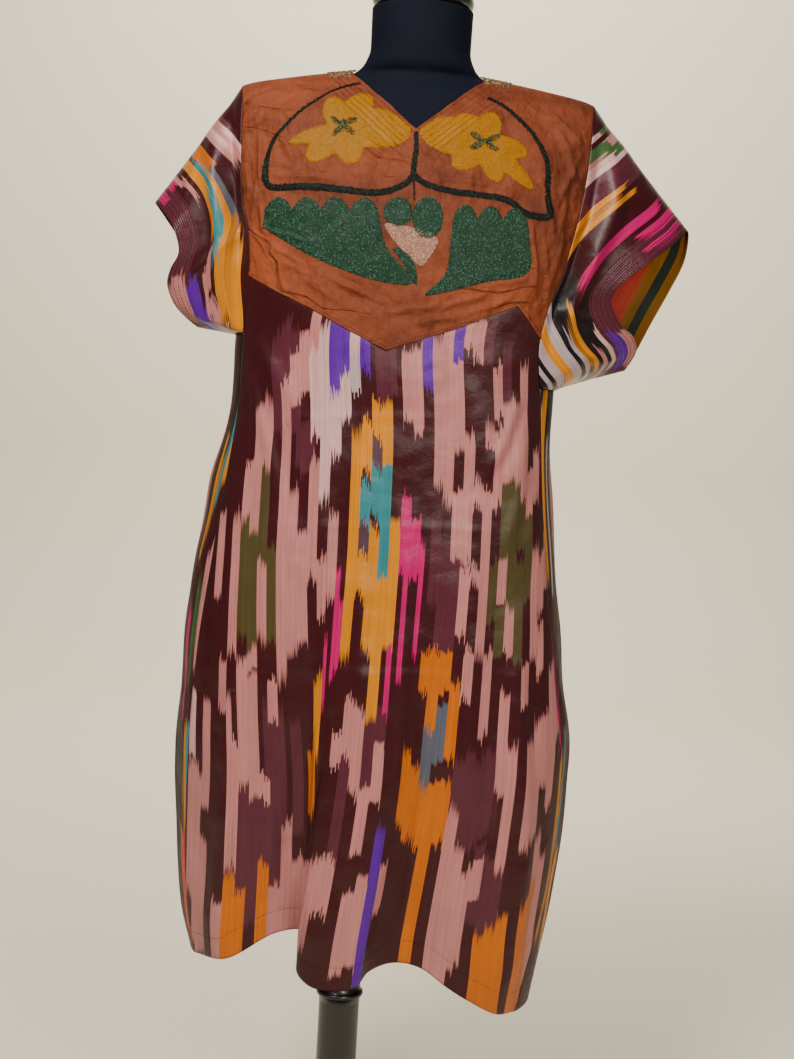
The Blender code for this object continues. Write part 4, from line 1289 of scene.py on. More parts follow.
def sleeve_piece(name, hand, cuff, table, satin, node, rings=61, cols=145):
    shares = np.linspace(0, 1, cols)
    start = along(armhole_line(hand), shares)
    under = np.clip((UNDERARM_Z[hand] + UNDERARM_EASE - start[:, 2]) / UNDERARM_EASE, 0.0, 1.0)
    start[:, 0] += hand * (ARMHOLE_GAP + UNDERARM_STAND_OFF * under)
    end = along(spline(cuff, closed=True), shares)
    v = np.linspace(0, 1, rings)[:, None]
    grid = start[None] * (1 - v[..., None]) + end[None] * v[..., None]
    out = grid_normals(grid, around=True) * -hand
    near = np.minimum(shares, 1 - shares)
    window = np.maximum(0.0, np.sin(2 * math.pi * near / FOLDS_ROUND)) ** FOLDS_FADE
    valley = SLEEVE_VALLEY * np.exp(-(((v - VALLEY_AT) / VALLEY_WIDTH) ** 2))
    crest = SLEEVE_CREST * np.exp(-(((v - CREST_AT) / CREST_WIDTH) ** 2))
    u = (1 - v) * np.linalg.norm(end - start, axis=1)
    w = shares[None] * SLEEVE_ROUND + 0 * u
    height = window * (crest - valley) * smooth_step(v / 0.05)
    waves = SLEEVE_WAVE * np.sin(2 * math.pi * SLEEVE_WAVES * shares) * v
    height = height + smooth_step(v / 0.15) * (creases(u, w, table) + waves)
    height = height - 0.0005 * (np.abs(u - 0.0255) < 0.0012)
    grid = grid + out * height[..., None]
    out = grid_normals(grid, around=True) * -hand
    piece = shell(name, grid, out, np.stack([u, w], axis=-1), satin, satin_reverse, around=True)
    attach(piece, "root")
    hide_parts(node)
    print(name, "round the cuff", round(line_length(grid[-1]), 3), "area", round(grid_area(grid), 3))
    return piece, grid, out


SLEEVES = (
    ("left", -1, CUFF_LEFT, LEFT_SLEEVE_CREASES, left_sleeve_satin),
    ("right", 1, CUFF_RIGHT, RIGHT_SLEEVE_CREASES, right_sleeve_satin),
)
sleeves = {}
for side, hand, cuff, table, satin in SLEEVES:
    sleeves[hand] = sleeve_piece(f"sleeve_{side}_cloth", hand, cuff, table, satin, f"sleeve_{side}")

# %% [markdown]
# ## Stitches
# A stitch is one short, fat piece of thread. Geometry Nodes sets one on each point, turned along the seam
# or the filling, and makes each a little thicker or thinner than the next, as hand and machine sewing
# both do.

# %% Stitch maker


def stitch_tree():
    tree = bpy.data.node_groups.new("stitches", "GeometryNodeTree")
    face = tree.interface
    face.new_socket("Geometry", in_out="INPUT", socket_type="NodeSocketGeometry")
    sockets = {"Thread Thickness": "Float", "Unevenness": "Float", "Seed": "Int", "Material": "Material"}
    for label, kind in sockets.items():
        face.new_socket(label, in_out="INPUT", socket_type=f"NodeSocket{kind}")
    face.new_socket("Geometry", in_out="OUTPUT", socket_type="NodeSocketGeometry")
    given = tree.nodes.new("NodeGroupInput")
    result = tree.nodes.new("NodeGroupOutput")
    thread = tree.nodes.new("GeometryNodeMeshUVSphere")
    thread.inputs["Radius"].default_value = 0.5
    thread.inputs["Segments"].default_value = 4
    thread.inputs["Rings"].default_value = 3
    rotation = tree.nodes.new("FunctionNodeAlignRotationToVector")
    rotation.axis = "Z"
    direction = tree.nodes.new("GeometryNodeInputNamedAttribute")
    direction.data_type = "FLOAT_VECTOR"
    direction.inputs["Name"].default_value = "along"
    reach = tree.nodes.new("GeometryNodeInputNamedAttribute")
    reach.data_type = "FLOAT"
    reach.inputs["Name"].default_value = "reach"
    chance = tree.nodes.new("FunctionNodeRandomValue")
    chance.data_type = "FLOAT"
    spread = tree.nodes.new("ShaderNodeMath")
    spread.operation = "MULTIPLY_ADD"
    thick = tree.nodes.new("ShaderNodeMath")
    thick.operation = "MULTIPLY"
    size = tree.nodes.new("ShaderNodeCombineXYZ")
    place = tree.nodes.new("GeometryNodeInstanceOnPoints")
    real = tree.nodes.new("GeometryNodeRealizeInstances")
    paint = tree.nodes.new("GeometryNodeSetMaterial")
    join = tree.links.new
    join(direction.outputs["Attribute"], rotation.inputs["Vector"])
    chance.inputs[2].default_value = -1.0
    chance.inputs[3].default_value = 1.0
    join(given.outputs["Seed"], chance.inputs["Seed"])
    join(chance.outputs[1], spread.inputs[0])
    join(given.outputs["Unevenness"], spread.inputs[1])
    spread.inputs[2].default_value = 1.0
    join(given.outputs["Thread Thickness"], thick.inputs[0])
    join(spread.outputs[0], thick.inputs[1])
    join(thick.outputs[0], size.inputs[0])
    join(thick.outputs[0], size.inputs[1])
    join(reach.outputs["Attribute"], size.inputs[2])
    join(given.outputs["Geometry"], place.inputs["Points"])
    join(thread.outputs["Mesh"], place.inputs["Instance"])
    join(rotation.outputs["Rotation"], place.inputs["Rotation"])
    join(size.outputs[0], place.inputs["Scale"])
    join(place.outputs["Instances"], real.inputs["Geometry"])
    join(real.outputs["Geometry"], paint.inputs["Geometry"])
    join(given.outputs["Material"], paint.inputs["Material"])
    join(paint.outputs["Geometry"], result.inputs["Geometry"])
    return tree


STITCHES = stitch_tree()


def sew(name, points, directions, reach, thickness, material, seed):
    """One stitch on each point, made into a plain mesh."""
    mesh = bpy.data.meshes.new(name)
    mesh.from_pydata(np.asarray(points, float).tolist(), [], [])
    headings = mesh.attributes.new("along", "FLOAT_VECTOR", "POINT")
    headings.data.foreach_set("vector", np.asarray(directions, np.float32).ravel())
    shade = np.random.default_rng(seed).uniform(0, 1, len(points))
    for label, values in (("reach", reach), ("shade", shade)):
        mesh.attributes.new(label, "FLOAT", "POINT").data.foreach_set("value", np.asarray(values, np.float32))
    seat = bpy.data.objects.new(name, mesh)
    bpy.context.scene.collection.objects.link(seat)
    maker = seat.modifiers.new("stitches", "NODES")
    maker.node_group = STITCHES
    settings = {"Thread Thickness": thickness, "Unevenness": 0.18, "Seed": seed, "Material": material}
    for item in STITCHES.interface.items_tree:
        if item.in_out == "INPUT" and item.name in settings:
            maker[item.identifier] = settings[item.name]
    graph = bpy.context.evaluated_depsgraph_get()
    graph.update()
    made = bpy.data.meshes.new_from_object(seat.evaluated_get(graph))
    bpy.data.objects.remove(seat, do_unlink=True)
    made.name = name
    thing = bpy.data.objects.new(name, made)
    made.shade_smooth()
    bpy.context.scene.collection.objects.link(thing)
    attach(thing, "root")
    print(name, len(points), "stitches")
    return thing


def row_of_stitches(line, pitch, share=0.72):
    """Middles, directions and lengths of stitches along a line of points."""
    count = max(2, int(line_length(line) / pitch))
    middles = along(line, (np.arange(count) + 0.5) / count)
    ahead_by = along(line, np.clip((np.arange(count) + 0.8) / count, 0, 1))
    back_by = along(line, np.clip((np.arange(count) + 0.2) / count, 0, 1))
    run = ahead_by - back_by
    run /= np.maximum(np.linalg.norm(run, axis=1, keepdims=True), 1e-9)
    return middles, run, np.full(count, pitch * share)


def thread_material(name, dark, light, gloss=0.45, fleck=None):
    material, tree, shader = new_material(name)
    shade = tree.nodes.new("ShaderNodeAttribute")
    shade.attribute_name = "shade"
    colour = mixed(tree, shade.outputs["Fac"], tone(dark), tone(light))
    if fleck:
        bright = sums(tree, "GREATER_THAN", shade.outputs["Fac"], 0.86)
        colour = mixed(tree, bright, colour, tone(fleck))
    spot = add(tree, "ShaderNodeTexCoord").node.outputs["Object"]
    strand = noise(tree, spot, 900.0, 2.0, 0.5)
    colour = mixed(tree, sums(tree, "MULTIPLY", strand, 0.35), colour, tone(dark))
    tree.links.new(colour, shader.inputs["Base Color"])
    tree.links.new(bump(tree, strand, 0.0002, 0.5), shader.inputs["Normal"])
    shader.inputs["Roughness"].default_value = gloss
    shader.inputs["Specular IOR Level"].default_value = 0.15
    return material


gold_thread = thread_material("gold embroidery thread", "#7a5000", "#b37a00", 0.5)
leaf_thread = thread_material("green embroidery thread", "#0a2218", "#2f5642", 0.5, "#4f7a66")
vine_thread = thread_material("dark vine thread", "#060a09", "#18211d", 0.6, "#36423b")
bud_thread = thread_material("beige embroidery thread", "#7a5240", "#c0998a", 0.5, "#e0c4b4")
seam_thread = thread_material("maroon sewing thread", "#16080b", "#34161b", 0.7)
rust_thread = thread_material("rust sewing thread", "#240e08", "#40190e", 0.7)

# %% [markdown]
# ## The embroidery
# Ordinary folk motifs: two flowers with six and seven petals, a vine over them, two scalloped leaves and
# a small bud. Each is a low pad on the yoke's surface, filled with separate stitches.

# %% Embroidery outlines
# Places along the vine and the middles of the flowers, in x and z. They were noted on the photo, and a
# scratch program turned them into metres.
VINE_STEM = [(0.0328, 1.3057), (0.0345, 1.2892), (0.0333, 1.2687), (0.0333, 1.2545)]
VINE_LEFT = [
    (0.0332, 1.2557), (0.0228, 1.2439), (-0.0073, 1.2334), (-0.047, 1.2355), (-0.0831, 1.2375),
    (-0.1258, 1.237), (-0.1322, 1.2587), (-0.1262, 1.2863), (-0.1055, 1.3155), (-0.0783, 1.3396),
    (-0.0552, 1.3527), (-0.0325, 1.3617),
]
VINE_RIGHT = [
    (0.034, 1.2558), (0.0471, 1.2469), (0.0751, 1.2399), (0.1069, 1.238), (0.139, 1.2342), (0.1619, 1.221),
    (0.1865, 1.222), (0.1832, 1.244), (0.1819, 1.2761), (0.1723, 1.2997), (0.1552, 1.321), (0.1304, 1.342),
    (0.1108, 1.3528),
]
THIN_STEM = [(0.0336, 1.2558), (0.0356, 1.2267)]
FLOWER_LEFT = (-0.0477, 1.3076)
FLOWER_RIGHT = (0.1099, 1.2992)
PAD_EDGE_STEP = 0.0016
PAD_STEP = 0.0022
PAD_SHADE = 0.3


def clear_of_neck(points, gap=0.0022):
    """Moves points off the neck's edge, where the motifs are cut by it."""
    off = points[:, 0] - V_POINT[0]
    near = np.abs(off) * NECK_SLANT[0] - (points[:, 1] - V_POINT[1]) * NECK_SLANT[1]
    push = np.maximum(gap - near, 0.0)[:, None]
    return points + push * np.stack([np.sign(off) * NECK_SLANT[0], np.full(len(off), -NECK_SLANT[1])], axis=-1)


def flower(centre, petals):
    """A flower outline from its petals: heading in degrees, reach and half width in mm."""
    angle = np.linspace(0, 2 * math.pi, 220, endpoint=False)
    reach = np.zeros(len(angle))
    for heading, long, half in petals:
        turn = angle - math.radians(heading)
        a, b, d = 0.56 * long * MILLI, half * MILLI, 0.44 * long * MILLI
        k = (np.cos(turn) / a) ** 2 + (np.sin(turn) / b) ** 2
        m = d * np.cos(turn) / a**2
        reach = np.maximum(reach, (m + np.sqrt(np.maximum(m * m - k * ((d / a) ** 2 - 1), 0))) / k)
    line = np.stack([centre[0] + reach * np.cos(angle), centre[1] + reach * np.sin(angle)], axis=-1)
    return clear_of_neck(line)


def scallops(left_at, right_at, count, rise):
    """A row of half rounds between two points."""
    t = np.linspace(0, 1, 14 * count + 1)
    line = np.array(left_at) * (1 - t)[:, None] + np.array(right_at) * t[:, None]
    line[:, 1] += rise * np.abs(np.sin(math.pi * count * t)) ** 0.75
    return line


def oval(centre, wide, tall, turn=0.0):
    angle = np.linspace(0, 2 * math.pi, 48, endpoint=False)
    x, z = wide * np.cos(angle), tall * np.sin(angle)
    turned_x = x * math.cos(turn) - z * math.sin(turn)
    turned_z = x * math.sin(turn) + z * math.cos(turn)
    return np.stack([centre[0] + turned_x, centre[1] + turned_z], -1)


def ribbon(line, halves):
    """The outline of a band along a line, its half width given at equal steps."""
    line = spline(line, fine=8)
    half = np.interp(np.linspace(0, 1, len(line)), np.linspace(0, 1, len(halves)), halves)[:, None]
    run = np.gradient(line, axis=0)
    side = np.stack([-run[:, 1], run[:, 0]], axis=-1)
    side /= np.linalg.norm(side, axis=1, keepdims=True)
    return np.concatenate([line + side * half, (line - side * half)[::-1]])


def inside(points, outline):
    x, z = points[:, 0], points[:, 1]
    hit = np.zeros(len(points), bool)
    ends = np.roll(outline, -1, axis=0)
    for (x0, z0), (x1, z1) in zip(outline, ends):
        crosses = (z0 > z) != (z1 > z)
        with np.errstate(divide="ignore", invalid="ignore"):
            hit ^= crosses & (x < (x1 - x0) * (z - z0) / (z1 - z0) + x0)
    return hit


def to_edge(points, outline):
    """Distance from points to an outline."""
    best = np.full(len(points), 1.0)
    for a, b in zip(outline, np.roll(outline, -1, axis=0)):
        run = b - a
        t = np.clip(((points - a) @ run) / max(run @ run, 1e-12), 0, 1)[:, None]
        best = np.minimum(best, np.linalg.norm(points - a - t * run, axis=1))
    return best


def pads(name, outlines, height, material):
    """Low raised pads on the front yoke."""
    verts, faces = [], []
    for outline in outlines:
        closed = np.concatenate([outline, outline[:1]])
        count = max(12, int(line_length(closed) / PAD_EDGE_STEP))
        edge = along(closed, np.arange(count) / count)
        low, high = edge.min(0), edge.max(0)
        gx, gz = np.meshgrid(np.arange(low[0], high[0], PAD_STEP), np.arange(low[1], high[1], PAD_STEP))
        fill = np.stack([gx.ravel(), gz.ravel()], axis=-1)
        fill = fill[inside(fill, edge)]
        fill = fill[to_edge(fill, edge) > 0.0009]
        flat = np.concatenate([edge, fill])
        rim = [(k, (k + 1) % count) for k in range(count)]
        done = delaunay_2d_cdt([Vector(p) for p in flat.tolist()], rim, [list(range(count))], 1, 1e-7)
        spots = np.array([list(p) for p in done[0]])
        lift = height * smooth_step(to_edge(spots, edge) / 0.0016) - 0.0003
        points, _ = yoke_points(-1, spots[:, 0], spots[:, 1], lift)
        faces += [[i + len(verts) for i in face] for face in done[2]]
        verts += points.tolist()
    mesh = bpy.data.meshes.new(name)
    mesh.from_pydata(verts, [], faces)
    cage = bmesh.new()
    cage.from_mesh(mesh)
    for face in cage.faces:
        if face.normal.y > 0:
            face.normal_flip()
    cage.to_mesh(mesh)
    cage.free()
    shade = mesh.attributes.new("shade", "FLOAT", "POINT")
    shade.data.foreach_set("value", np.full(len(verts), PAD_SHADE, np.float32))
    thing = link(name, mesh, [material])
    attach(thing, "root")
    return thing


def filling(outlines, heading, pitch, reach, lift, seed, wander=0.25, inset=0.0007):
    """Stitches that fill outlines. heading gives each place's angle."""
    rng = np.random.default_rng(seed)
    out = ([], [], [])
    for outline in outlines:
        low, high = outline.min(0), outline.max(0)
        gx, gz = np.meshgrid(np.arange(low[0], high[0], pitch), np.arange(low[1], high[1], reach * 0.62))
        gz = gz + (np.arange(gx.shape[1]) % 2)[None] * reach * 0.31
        spots = np.stack([gx.ravel(), gz.ravel()], axis=-1)
        spots += rng.uniform(-0.45, 0.45, spots.shape) * [pitch, reach * 0.5]
        spots = spots[inside(spots, outline)]
        spots = spots[to_edge(spots, outline) > inset]
        angle = heading(spots) + rng.normal(0, wander, len(spots))
        half = np.stack([np.cos(angle), np.sin(angle)], axis=-1) * 0.001
        raised = lift(spots) if callable(lift) else lift
        ahead_at, _ = yoke_points(-1, *(spots + half).T, raised)
        back_at, _ = yoke_points(-1, *(spots - half).T, raised)
        run = ahead_at - back_at
        run /= np.linalg.norm(run, axis=1, keepdims=True)
        out[0].append((ahead_at + back_at) / 2)
        out[1].append(run)
        out[2].append(reach * rng.uniform(0.75, 1.2, len(spots)))
    return [np.concatenate(part) for part in out]


# %% [markdown]
# The flowers' stitches run out from their centres, the leaves' lie every way, and the vine's cross it at
# a slant.

# %% Embroidery
LEFT_PETALS = [(120, 38, 16), (56, 49, 17), (-2, 76, 24), (-72, 46, 17), (-132, 56, 16), (199, 64, 9)]
RIGHT_PETALS = [
    (78, 36, 15), (-12, 50, 13), (-41, 76, 10), (-68, 49, 14), (-135, 47, 16), (173, 74, 23), (140, 44, 16),
]
flower_left = flower(FLOWER_LEFT, LEFT_PETALS)
flower_right = flower(FLOWER_RIGHT, RIGHT_PETALS)
leaf_left = np.concatenate(
    [
        scallops((-0.131, 1.211), (-0.003, 1.214), 4, 0.014),
        spline(
            [
                (-0.001, 1.205), (0.010, 1.172), (0.040, 1.136),
                (-0.010, 1.138), (-0.075, 1.160), (-0.131, 1.190),
            ]
        ),
    ]
)
leaf_right = np.concatenate(
    [
        scallops((0.079, 1.212), (0.162, 1.214), 3, 0.014),
        spline(
            [
                (0.165, 1.200), (0.166, 1.156), (0.120, 1.142),
                (0.054, 1.123), (0.074, 1.150), (0.078, 1.195),
            ]
        ),
    ]
)
round_left = oval((0.0185, 1.2135), 0.0165, 0.0170)
round_right = oval((0.0515, 1.2090), 0.0175, 0.0240)
BUD = [(0.004, 1.199), (0.034, 1.198), (0.064, 1.187), (0.056, 1.164), (0.046, 1.155), (0.024, 1.172)]
bud = spline(BUD, closed=True)[:-1]
BUD_STEM = [(0.016, 1.174), (0.030, 1.163), (0.038, 1.148), (0.043, 1.134)]
bud_stem = ribbon(BUD_STEM, [0.003, 0.0065, 0.0055, 0.0015])
HEART_LEFT = [(-8, 5, 0.9), (8, 6, -1.1), (-6, -6, -0.7), (7, -5, 0.9), (0, 0, 0.0)]
HEART_RIGHT = [(-10, 5, 1.1), (10, 5, -1.1), (-9, -6, -1.1), (9, -6, 1.1), (0, 0, 1.5)]
hearts = []
for middle, leaves in ((FLOWER_LEFT, HEART_LEFT), (FLOWER_RIGHT, HEART_RIGHT)):
    for dx, dz, turn in leaves:
        hearts.append(oval((middle[0] + dx * MILLI, middle[1] + dz * MILLI), 0.0036, 0.0078, turn))
vines = [
    ribbon(VINE_STEM, [0.0024, 0.0032, 0.0036]),
    ribbon(VINE_LEFT, [0.0034, 0.0040, 0.0044, 0.0040, 0.0024, 0.0018, 0.0018]),
    ribbon(VINE_RIGHT, [0.0034, 0.0038, 0.0040, 0.0046, 0.0034, 0.0026, 0.0022]),
    ribbon(THIN_STEM, [0.0012, 0.0012]),
]

RAISED = 0.0010
BUD_RAISED = 0.8 * RAISED
SUNK = 0.0003
flowers = [flower_left, flower_right]
leaves = [leaf_left, leaf_right, round_left, round_right]
pads("flower_pads", flowers, RAISED, gold_thread)
pads("leaf_pads", leaves, RAISED, leaf_thread)
pads("bud_pad", [bud], BUD_RAISED, bud_thread)
pads("bud_stem_pad", [bud_stem], RAISED, leaf_thread)
pads("vine_pads", vines, RAISED, vine_thread)


def outward(centres):
    """The angle away from the nearest of some centres."""

    def heading(spots):
        gaps = spots[:, None] - np.array(centres)[None]
        pick = np.linalg.norm(gaps, axis=2).argmin(1)
        gap = gaps[np.arange(len(spots)), pick]
        return np.arctan2(gap[:, 1], gap[:, 0])

    return heading


def upright(spots):
    return np.full(len(spots), math.pi / 2)


def from_neck(spots):
    return np.abs(spots[:, 0] - V_POINT[0]) * NECK_SLANT[0] - (spots[:, 1] - V_POINT[1]) * NECK_SLANT[1]


def pressed_by_rows(spots):
    """The flowers' thread lies lower where the neck's topstitching crosses it."""
    gap = np.abs(from_neck(spots)[:, None] - NECK_ROWS[None]).min(1)
    return RAISED - SUNK - 0.0004 * np.exp(-((gap / 0.0009) ** 2))


from_centres = outward([FLOWER_LEFT, FLOWER_RIGHT])
filled = RAISED - SUNK
gold = filling(flowers, from_centres, 0.0011, 0.0025, pressed_by_rows, 31, wander=0.55)
sew("flower_stitches", *gold, 0.00075, gold_thread, 31)
green = filling([*leaves, bud_stem], upright, 0.0013, 0.0025, filled, 32, wander=0.9)
sew("leaf_stitches", *green, 0.00085, leaf_thread, 32)
beige = filling([bud], upright, 0.0011, 0.0022, BUD_RAISED - SUNK, 33, wander=0.9)
sew("bud_stitches", *beige, 0.0008, bud_thread, 33)
dark = filling(vines, upright, 0.0012, 0.0024, filled, 34, wander=0.8, inset=0.0003)
sew("vine_stitches", *dark, 0.0008, vine_thread, 34)
centre = filling(hearts, from_centres, 0.0011, 0.0026, RAISED + 0.0002, 35, wander=0.3, inset=0.0001)
sew("flower_centre_stitches", *centre, 0.0009, leaf_thread, 35)

# %% [markdown]
# ## Sewn rows
# The neck is held by rows of topstitching that follow the V, which also gather the silk into small
# ridges. The yoke's point is stitched down, the hem is turned once, and both cuffs are quilted in close
# rows.

# %% Sewn rows
MACHINE_STITCH = 0.0034
HEM_STITCH = 0.0036
CUFF_STITCH = 0.0042
BEADS = 420
PATCH_DROP = 0.014
CUFF_ROWS = np.arange(0.0025, 0.0262, CUFF_PITCH)[::2]


def neck_line(hand, inset):
    """A line beside the V neck, from near the point up to the shoulder."""
    t = np.linspace(0.02, 0.97, 60)
    neck = np.array([NECK_X + hand * NECK_HALF, float(ridge_z(NECK_HALF))])
    line = np.array(V_POINT) * (1 - t)[:, None] + neck * t[:, None]
    run = neck - np.array(V_POINT)
    side = np.array([hand * run[1], -hand * run[0]]) / np.linalg.norm(run)
    line = line + side * inset + np.array([0.0, -0.15 * inset])
    line = line[line[:, 1] < ridge_z(np.abs(line[:, 0] - NECK_X)) - 0.002]
    over = inside(line, flower_left) | inside(line, flower_right)
    return yoke_points(-1, line[:, 0], line[:, 1], np.where(over, 0.0009, 0.0001))[0]


def gathered(lines, pitch):
    parts = [row_of_stitches(line, pitch) for line in lines]
    return [np.concatenate([part[k] for part in parts]) for k in range(3)]


neck_lines = [neck_line(hand, inset) for hand in (-1, 1) for inset in NECK_ROWS]
sew("neck_topstitching", *gathered(neck_lines, MACHINE_STITCH), 0.0006, rust_thread, 41)
edge_share = np.linspace(0.01, 0.99, 300)
edge_flat = flat_points(-1, edge_share, yoke_edge_z(edge_share) + 0.0015)
edge_line = yoke_points(-1, edge_flat[:, 0], edge_flat[:, 2], 0.0009)[0]
sew("yoke_edge_topstitching", *gathered([edge_line], MACHINE_STITCH), 0.0006, rust_thread, 42)


def hem_line(grid, out_sign):
    """A line round a panel, the hem's turn above its edge."""
    lengths = np.cumsum(np.linalg.norm(np.diff(grid[::-1], axis=0), axis=2), axis=0)
    row = np.argmin(np.abs(lengths - HEM_TURN), axis=0)
    points = grid[::-1][row + 1, np.arange(grid.shape[1])]
    out = (grid_normals(grid) * out_sign)[::-1][row + 1, np.arange(grid.shape[1])]
    return points + out * (CLOTH / 2 + 0.0001)


hems = [hem_line(front_grid, 1), hem_line(back_grid, -1), hem_line(gores[-1][1], -1), hem_line(gores[1][1], 1)]
sew("hem_topstitching", *gathered(hems, HEM_STITCH), 0.00055, seam_thread, 43)
for hand in (-1, 1):
    piece, grid, out = sleeves[hand]
    lengths = np.linalg.norm(grid[-1] - grid[0], axis=1)
    lines = []
    for inset in CUFF_ROWS:
        row = (1 - inset / np.maximum(lengths, 0.03)) * (len(grid) - 1)
        r = np.clip(row.astype(int), 0, len(grid) - 2)
        f = (row - r)[:, None]
        c = np.arange(grid.shape[1])
        lines.append(grid[r, c] * (1 - f) + grid[r + 1, c] * f + out[r, c] * (CLOTH / 2 + 0.0001))
    side = "left" if hand < 0 else "right"
    sew(f"cuff_{side}_quilting", *gathered(lines, CUFF_STITCH), 0.0006, seam_thread, 44 + hand)


def patch(centre_x, half, seed):
    """A small beaded patch over the shoulder beside the neck."""
    rng = np.random.default_rng(seed)
    x = centre_x + rng.uniform(-half, half, BEADS)
    down = rng.uniform(0.001, PATCH_DROP, BEADS)
    z = ridge_z(np.abs(x - NECK_X)) - down
    keep = np.abs(x - centre_x) < half * (1 - 0.3 * (down / PATCH_DROP))
    points, _ = yoke_points(-1, x[keep], z[keep], 0.0004)
    turn = rng.normal(0, 1, (keep.sum(), 3))
    turn[:, 1] *= 0.2
    turn /= np.linalg.norm(turn, axis=1, keepdims=True)
    return points, turn, rng.uniform(0.0018, 0.0032, keep.sum())


bead_thread = thread_material("beige gold beads", "#4e3a28", "#937452", 0.4, "#bfa27c")
patches = [patch(-0.0560, 0.017, 51), patch(0.1220, 0.019, 52)]
sew("shoulder_patches", *[np.concatenate(part) for part in zip(*patches)], 0.0013, bead_thread, 53)

# %% [markdown]
# ## The dress form
# A padded shell covered in navy jersey, a gloss black cap on the neck, and a painted black post and base.

# %% Dress form


def plain(name, dark, light, roughness, scale, depth, gloss=0.5, coat=0.0):
    material, tree, shader = new_material(name)
    spot = add(tree, "ShaderNodeTexCoord").node.outputs["Object"]
    grain = noise(tree, spot, scale, 4.0, 0.6)
    tree.links.new(mixed(tree, grain, tone(dark), tone(light)), shader.inputs["Base Color"])
    tree.links.new(bump(tree, grain, depth, 0.5), shader.inputs["Normal"])
    shader.inputs["Roughness"].default_value = roughness
    shader.inputs["Specular IOR Level"].default_value = gloss
    shader.inputs["Coat Weight"].default_value = coat
    return material


jersey = plain("navy cotton jersey", "#060913", "#0c1322", 0.8, 700.0, 0.0003, gloss=0.12)
cap_wood = plain("gloss black lacquered wood", "#0a0b0e", "#14151a", 0.22, 30.0, 0.0002, coat=0.6)
post_wood = plain("satin black painted wood", "#0b0b0d", "#17171a", 0.38, 60.0, 0.0003, coat=0.2)


def loft(name, rings, material):
    """A closed form through rings of points, with flat ends."""
    n = len(rings[0])
    faces = [tuple(range(n))[::-1], tuple(range((len(rings) - 1) * n, len(rings) * n))]
    for r in range(len(rings) - 1):
        for c in range(n):
            d = (c + 1) % n
            faces.append((r * n + c, r * n + d, (r + 1) * n + d, (r + 1) * n + c))
    mesh = bpy.data.meshes.new(name)
    mesh.from_pydata(np.concatenate(rings).tolist(), [], faces)
    cage = bmesh.new()
    cage.from_mesh(mesh)
    bmesh.ops.recalc_face_normals(cage, faces=cage.faces)
    cage.to_mesh(mesh)
    cage.free()
    return link(name, mesh, [material])


AROUND_FORM = 112
turns = np.arange(AROUND_FORM) * 2 * math.pi / AROUND_FORM
rings = []
for z in np.concatenate([np.linspace(0.680, 1.33, 60), np.linspace(1.333, 1.46, 50)]):
    middle_x, half, near, far, square = (float(read(FORM, FORM_COLUMNS, k, z)) for k in FORM_COLUMNS[1:])
    x = middle_x + half * np.sign(np.cos(turns)) * np.abs(np.cos(turns)) ** (2 / square)
    depth = np.where(np.sin(turns) < 0, near, far)
    y = depth * np.sign(np.sin(turns)) * np.abs(np.sin(turns)) ** (2 / square)
    rings.append(np.column_stack([x, y, np.full(len(turns), z)]))
torso = loft("form_torso_jersey", rings, jersey)
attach(torso, "root")
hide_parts("form_torso")


AROUND_TURNED = 96


def rounded(centre_r, centre_z, radius, start, stop, count=8):
    angle = np.radians(np.linspace(start, stop, count + 1))
    return list(zip(centre_r + radius * np.cos(angle), centre_z + radius * np.sin(angle)))


def lathe(name, profile, place, material, node):
    """A turned piece: its profile runs from the top down the outer side."""
    turning = np.arange(AROUND_TURNED) * 2 * math.pi / AROUND_TURNED
    x, y = np.cos(turning), np.sin(turning)
    rings = [np.column_stack([r * x, r * y, np.full(AROUND_TURNED, z)]) + np.array(place) for r, z in profile]
    thing = loft(name, rings, material)
    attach(thing, "root")
    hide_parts(node)
    return thing


cap = [(0.004, 0.036), (0.020, 0.035), (0.036, 0.031), (0.046, 0.020)]
cap += [*rounded(0.0495, 0.010, 0.010, 60, -80), (0.048, 0.0)]
cap = lathe("neck_cap_wood", cap, (NECK_X, 0, 1.4603), cap_wood, "neck_cap")
ring = 0.004
post = [(0.0235, 0.6797), (0.0245, 0.679), (0.0245, 0.303), (0.0245, 0.3)]
post += [*rounded(0.0245, 0.288, ring, 80, -80), (0.0245, 0.276), (0.0245, 0.12)]
post += [(0.030, 0.07), (0.040, 0.045), (0.043, 0.0263)]
post = lathe("stand_post_wood", post, (0, 0, 0), post_wood, "stand_post")
base = [(0.050, 0.026), (0.060, 0.026), (0.140, 0.020)]
base += [*rounded(0.164, 0.012, 0.006, 80, 0), (0.170, 0.002), (0.168, 0.0)]
base = lathe("stand_base_wood", base, (0, 0, 0), post_wood, "stand_base")
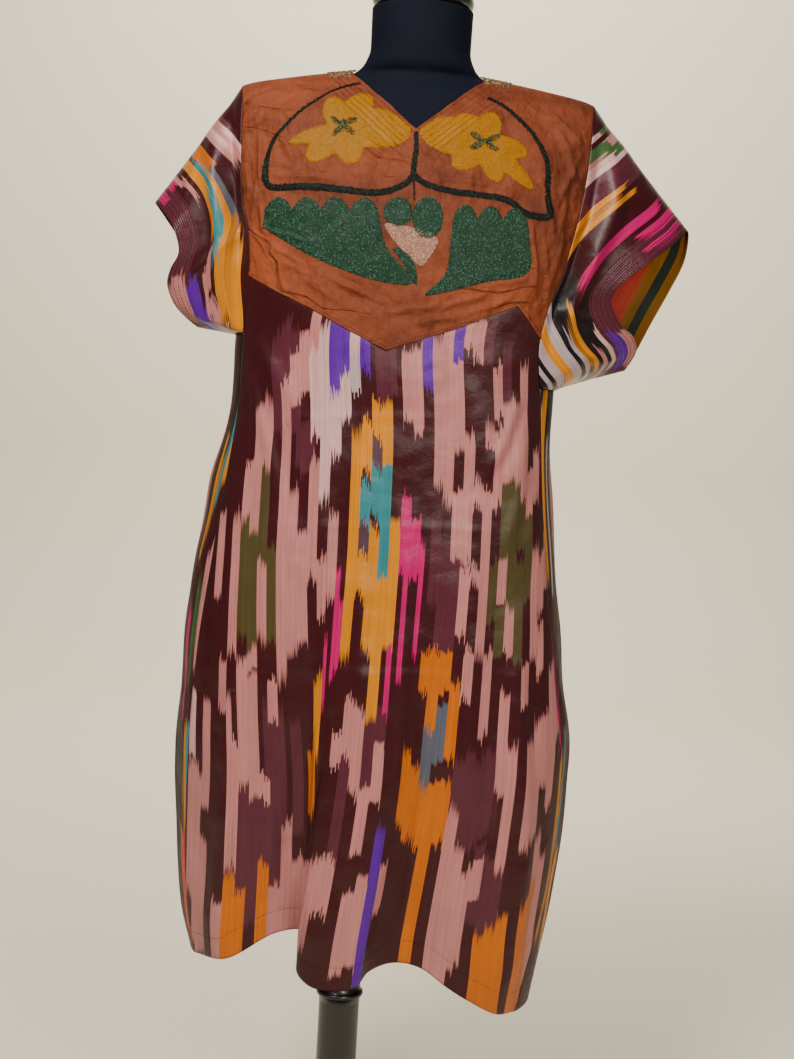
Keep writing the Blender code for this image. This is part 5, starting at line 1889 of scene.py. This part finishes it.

# %% [markdown]
# ## Two empty loops
# These loops run over both hands and do nothing.

# %% Empty loops


for hand in (-1, 1):
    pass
for hand in (-1, 1):
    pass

# %% [markdown]
# ## Floor and light
# A pale floor that curves up behind, and two wide soft lights with a little light from all round.

# %% Floor and light
floor_material, floor_tree, floor_shader = new_material("pale paper backdrop")
floor_spot = add(floor_tree, "ShaderNodeTexCoord").node.outputs["Object"]
floor_colour = mixed(floor_tree, noise(floor_tree, floor_spot, 3.0), tone("#e6dfcc"), tone("#eae4d4"))
floor_tree.links.new(floor_colour, floor_shader.inputs["Base Color"])
floor_shader.inputs["Roughness"].default_value = 0.9
BEND_RADIUS = 0.8
BEND_FROM = 3.6
bend = np.radians(np.linspace(0, 90, 13))
curve = zip(BEND_FROM + BEND_RADIUS * np.sin(bend), BEND_RADIUS - BEND_RADIUS * np.cos(bend))
side_on = [(-6.0, 0.0), *curve, (BEND_FROM + BEND_RADIUS, 5.0)]
floor_verts = [(x, y, z) for y, z in side_on for x in (-7.0, 7.0)]
floor_faces = [(2 * k, 2 * k + 1, 2 * k + 3, 2 * k + 2) for k in range(len(side_on) - 1)]
floor_mesh = bpy.data.meshes.new("floor")
floor_mesh.from_pydata(floor_verts, [], floor_faces)
floor = link("floor", floor_mesh, [floor_material])


def soft_light(name, place, aim, size, power, colour):
    lamp = bpy.data.lights.new(name, "AREA")
    lamp.shape = "SQUARE"
    lamp.size = size
    lamp.energy = power
    lamp.color = tone(colour)[:3]
    thing = bpy.data.objects.new(name, lamp)
    thing.location = place
    thing.rotation_euler = (Vector(aim) - Vector(place)).to_track_quat("-Z", "Y").to_euler()
    bpy.context.scene.collection.objects.link(thing)


soft_light("key", (-0.8, -1.6, 2.7), (0, 0, 0.95), 0.6, 78, "#fff6ea")
soft_light("fill", (1.0, -2.4, 1.6), (0, 0, 0.85), 0.8, 44, "#fff4e8")
soft_light("backdrop light", (0, 2.2, 3.6), (0, 4.4, 1.4), 3.0, 190, "#fff6e8")
world = bpy.data.worlds.new("studio")
world.use_nodes = True
world.node_tree.nodes["Background"].inputs["Color"].default_value = tone("#e8e4dc")
world.node_tree.nodes["Background"].inputs["Strength"].default_value = 0.22
bpy.context.scene.world = world
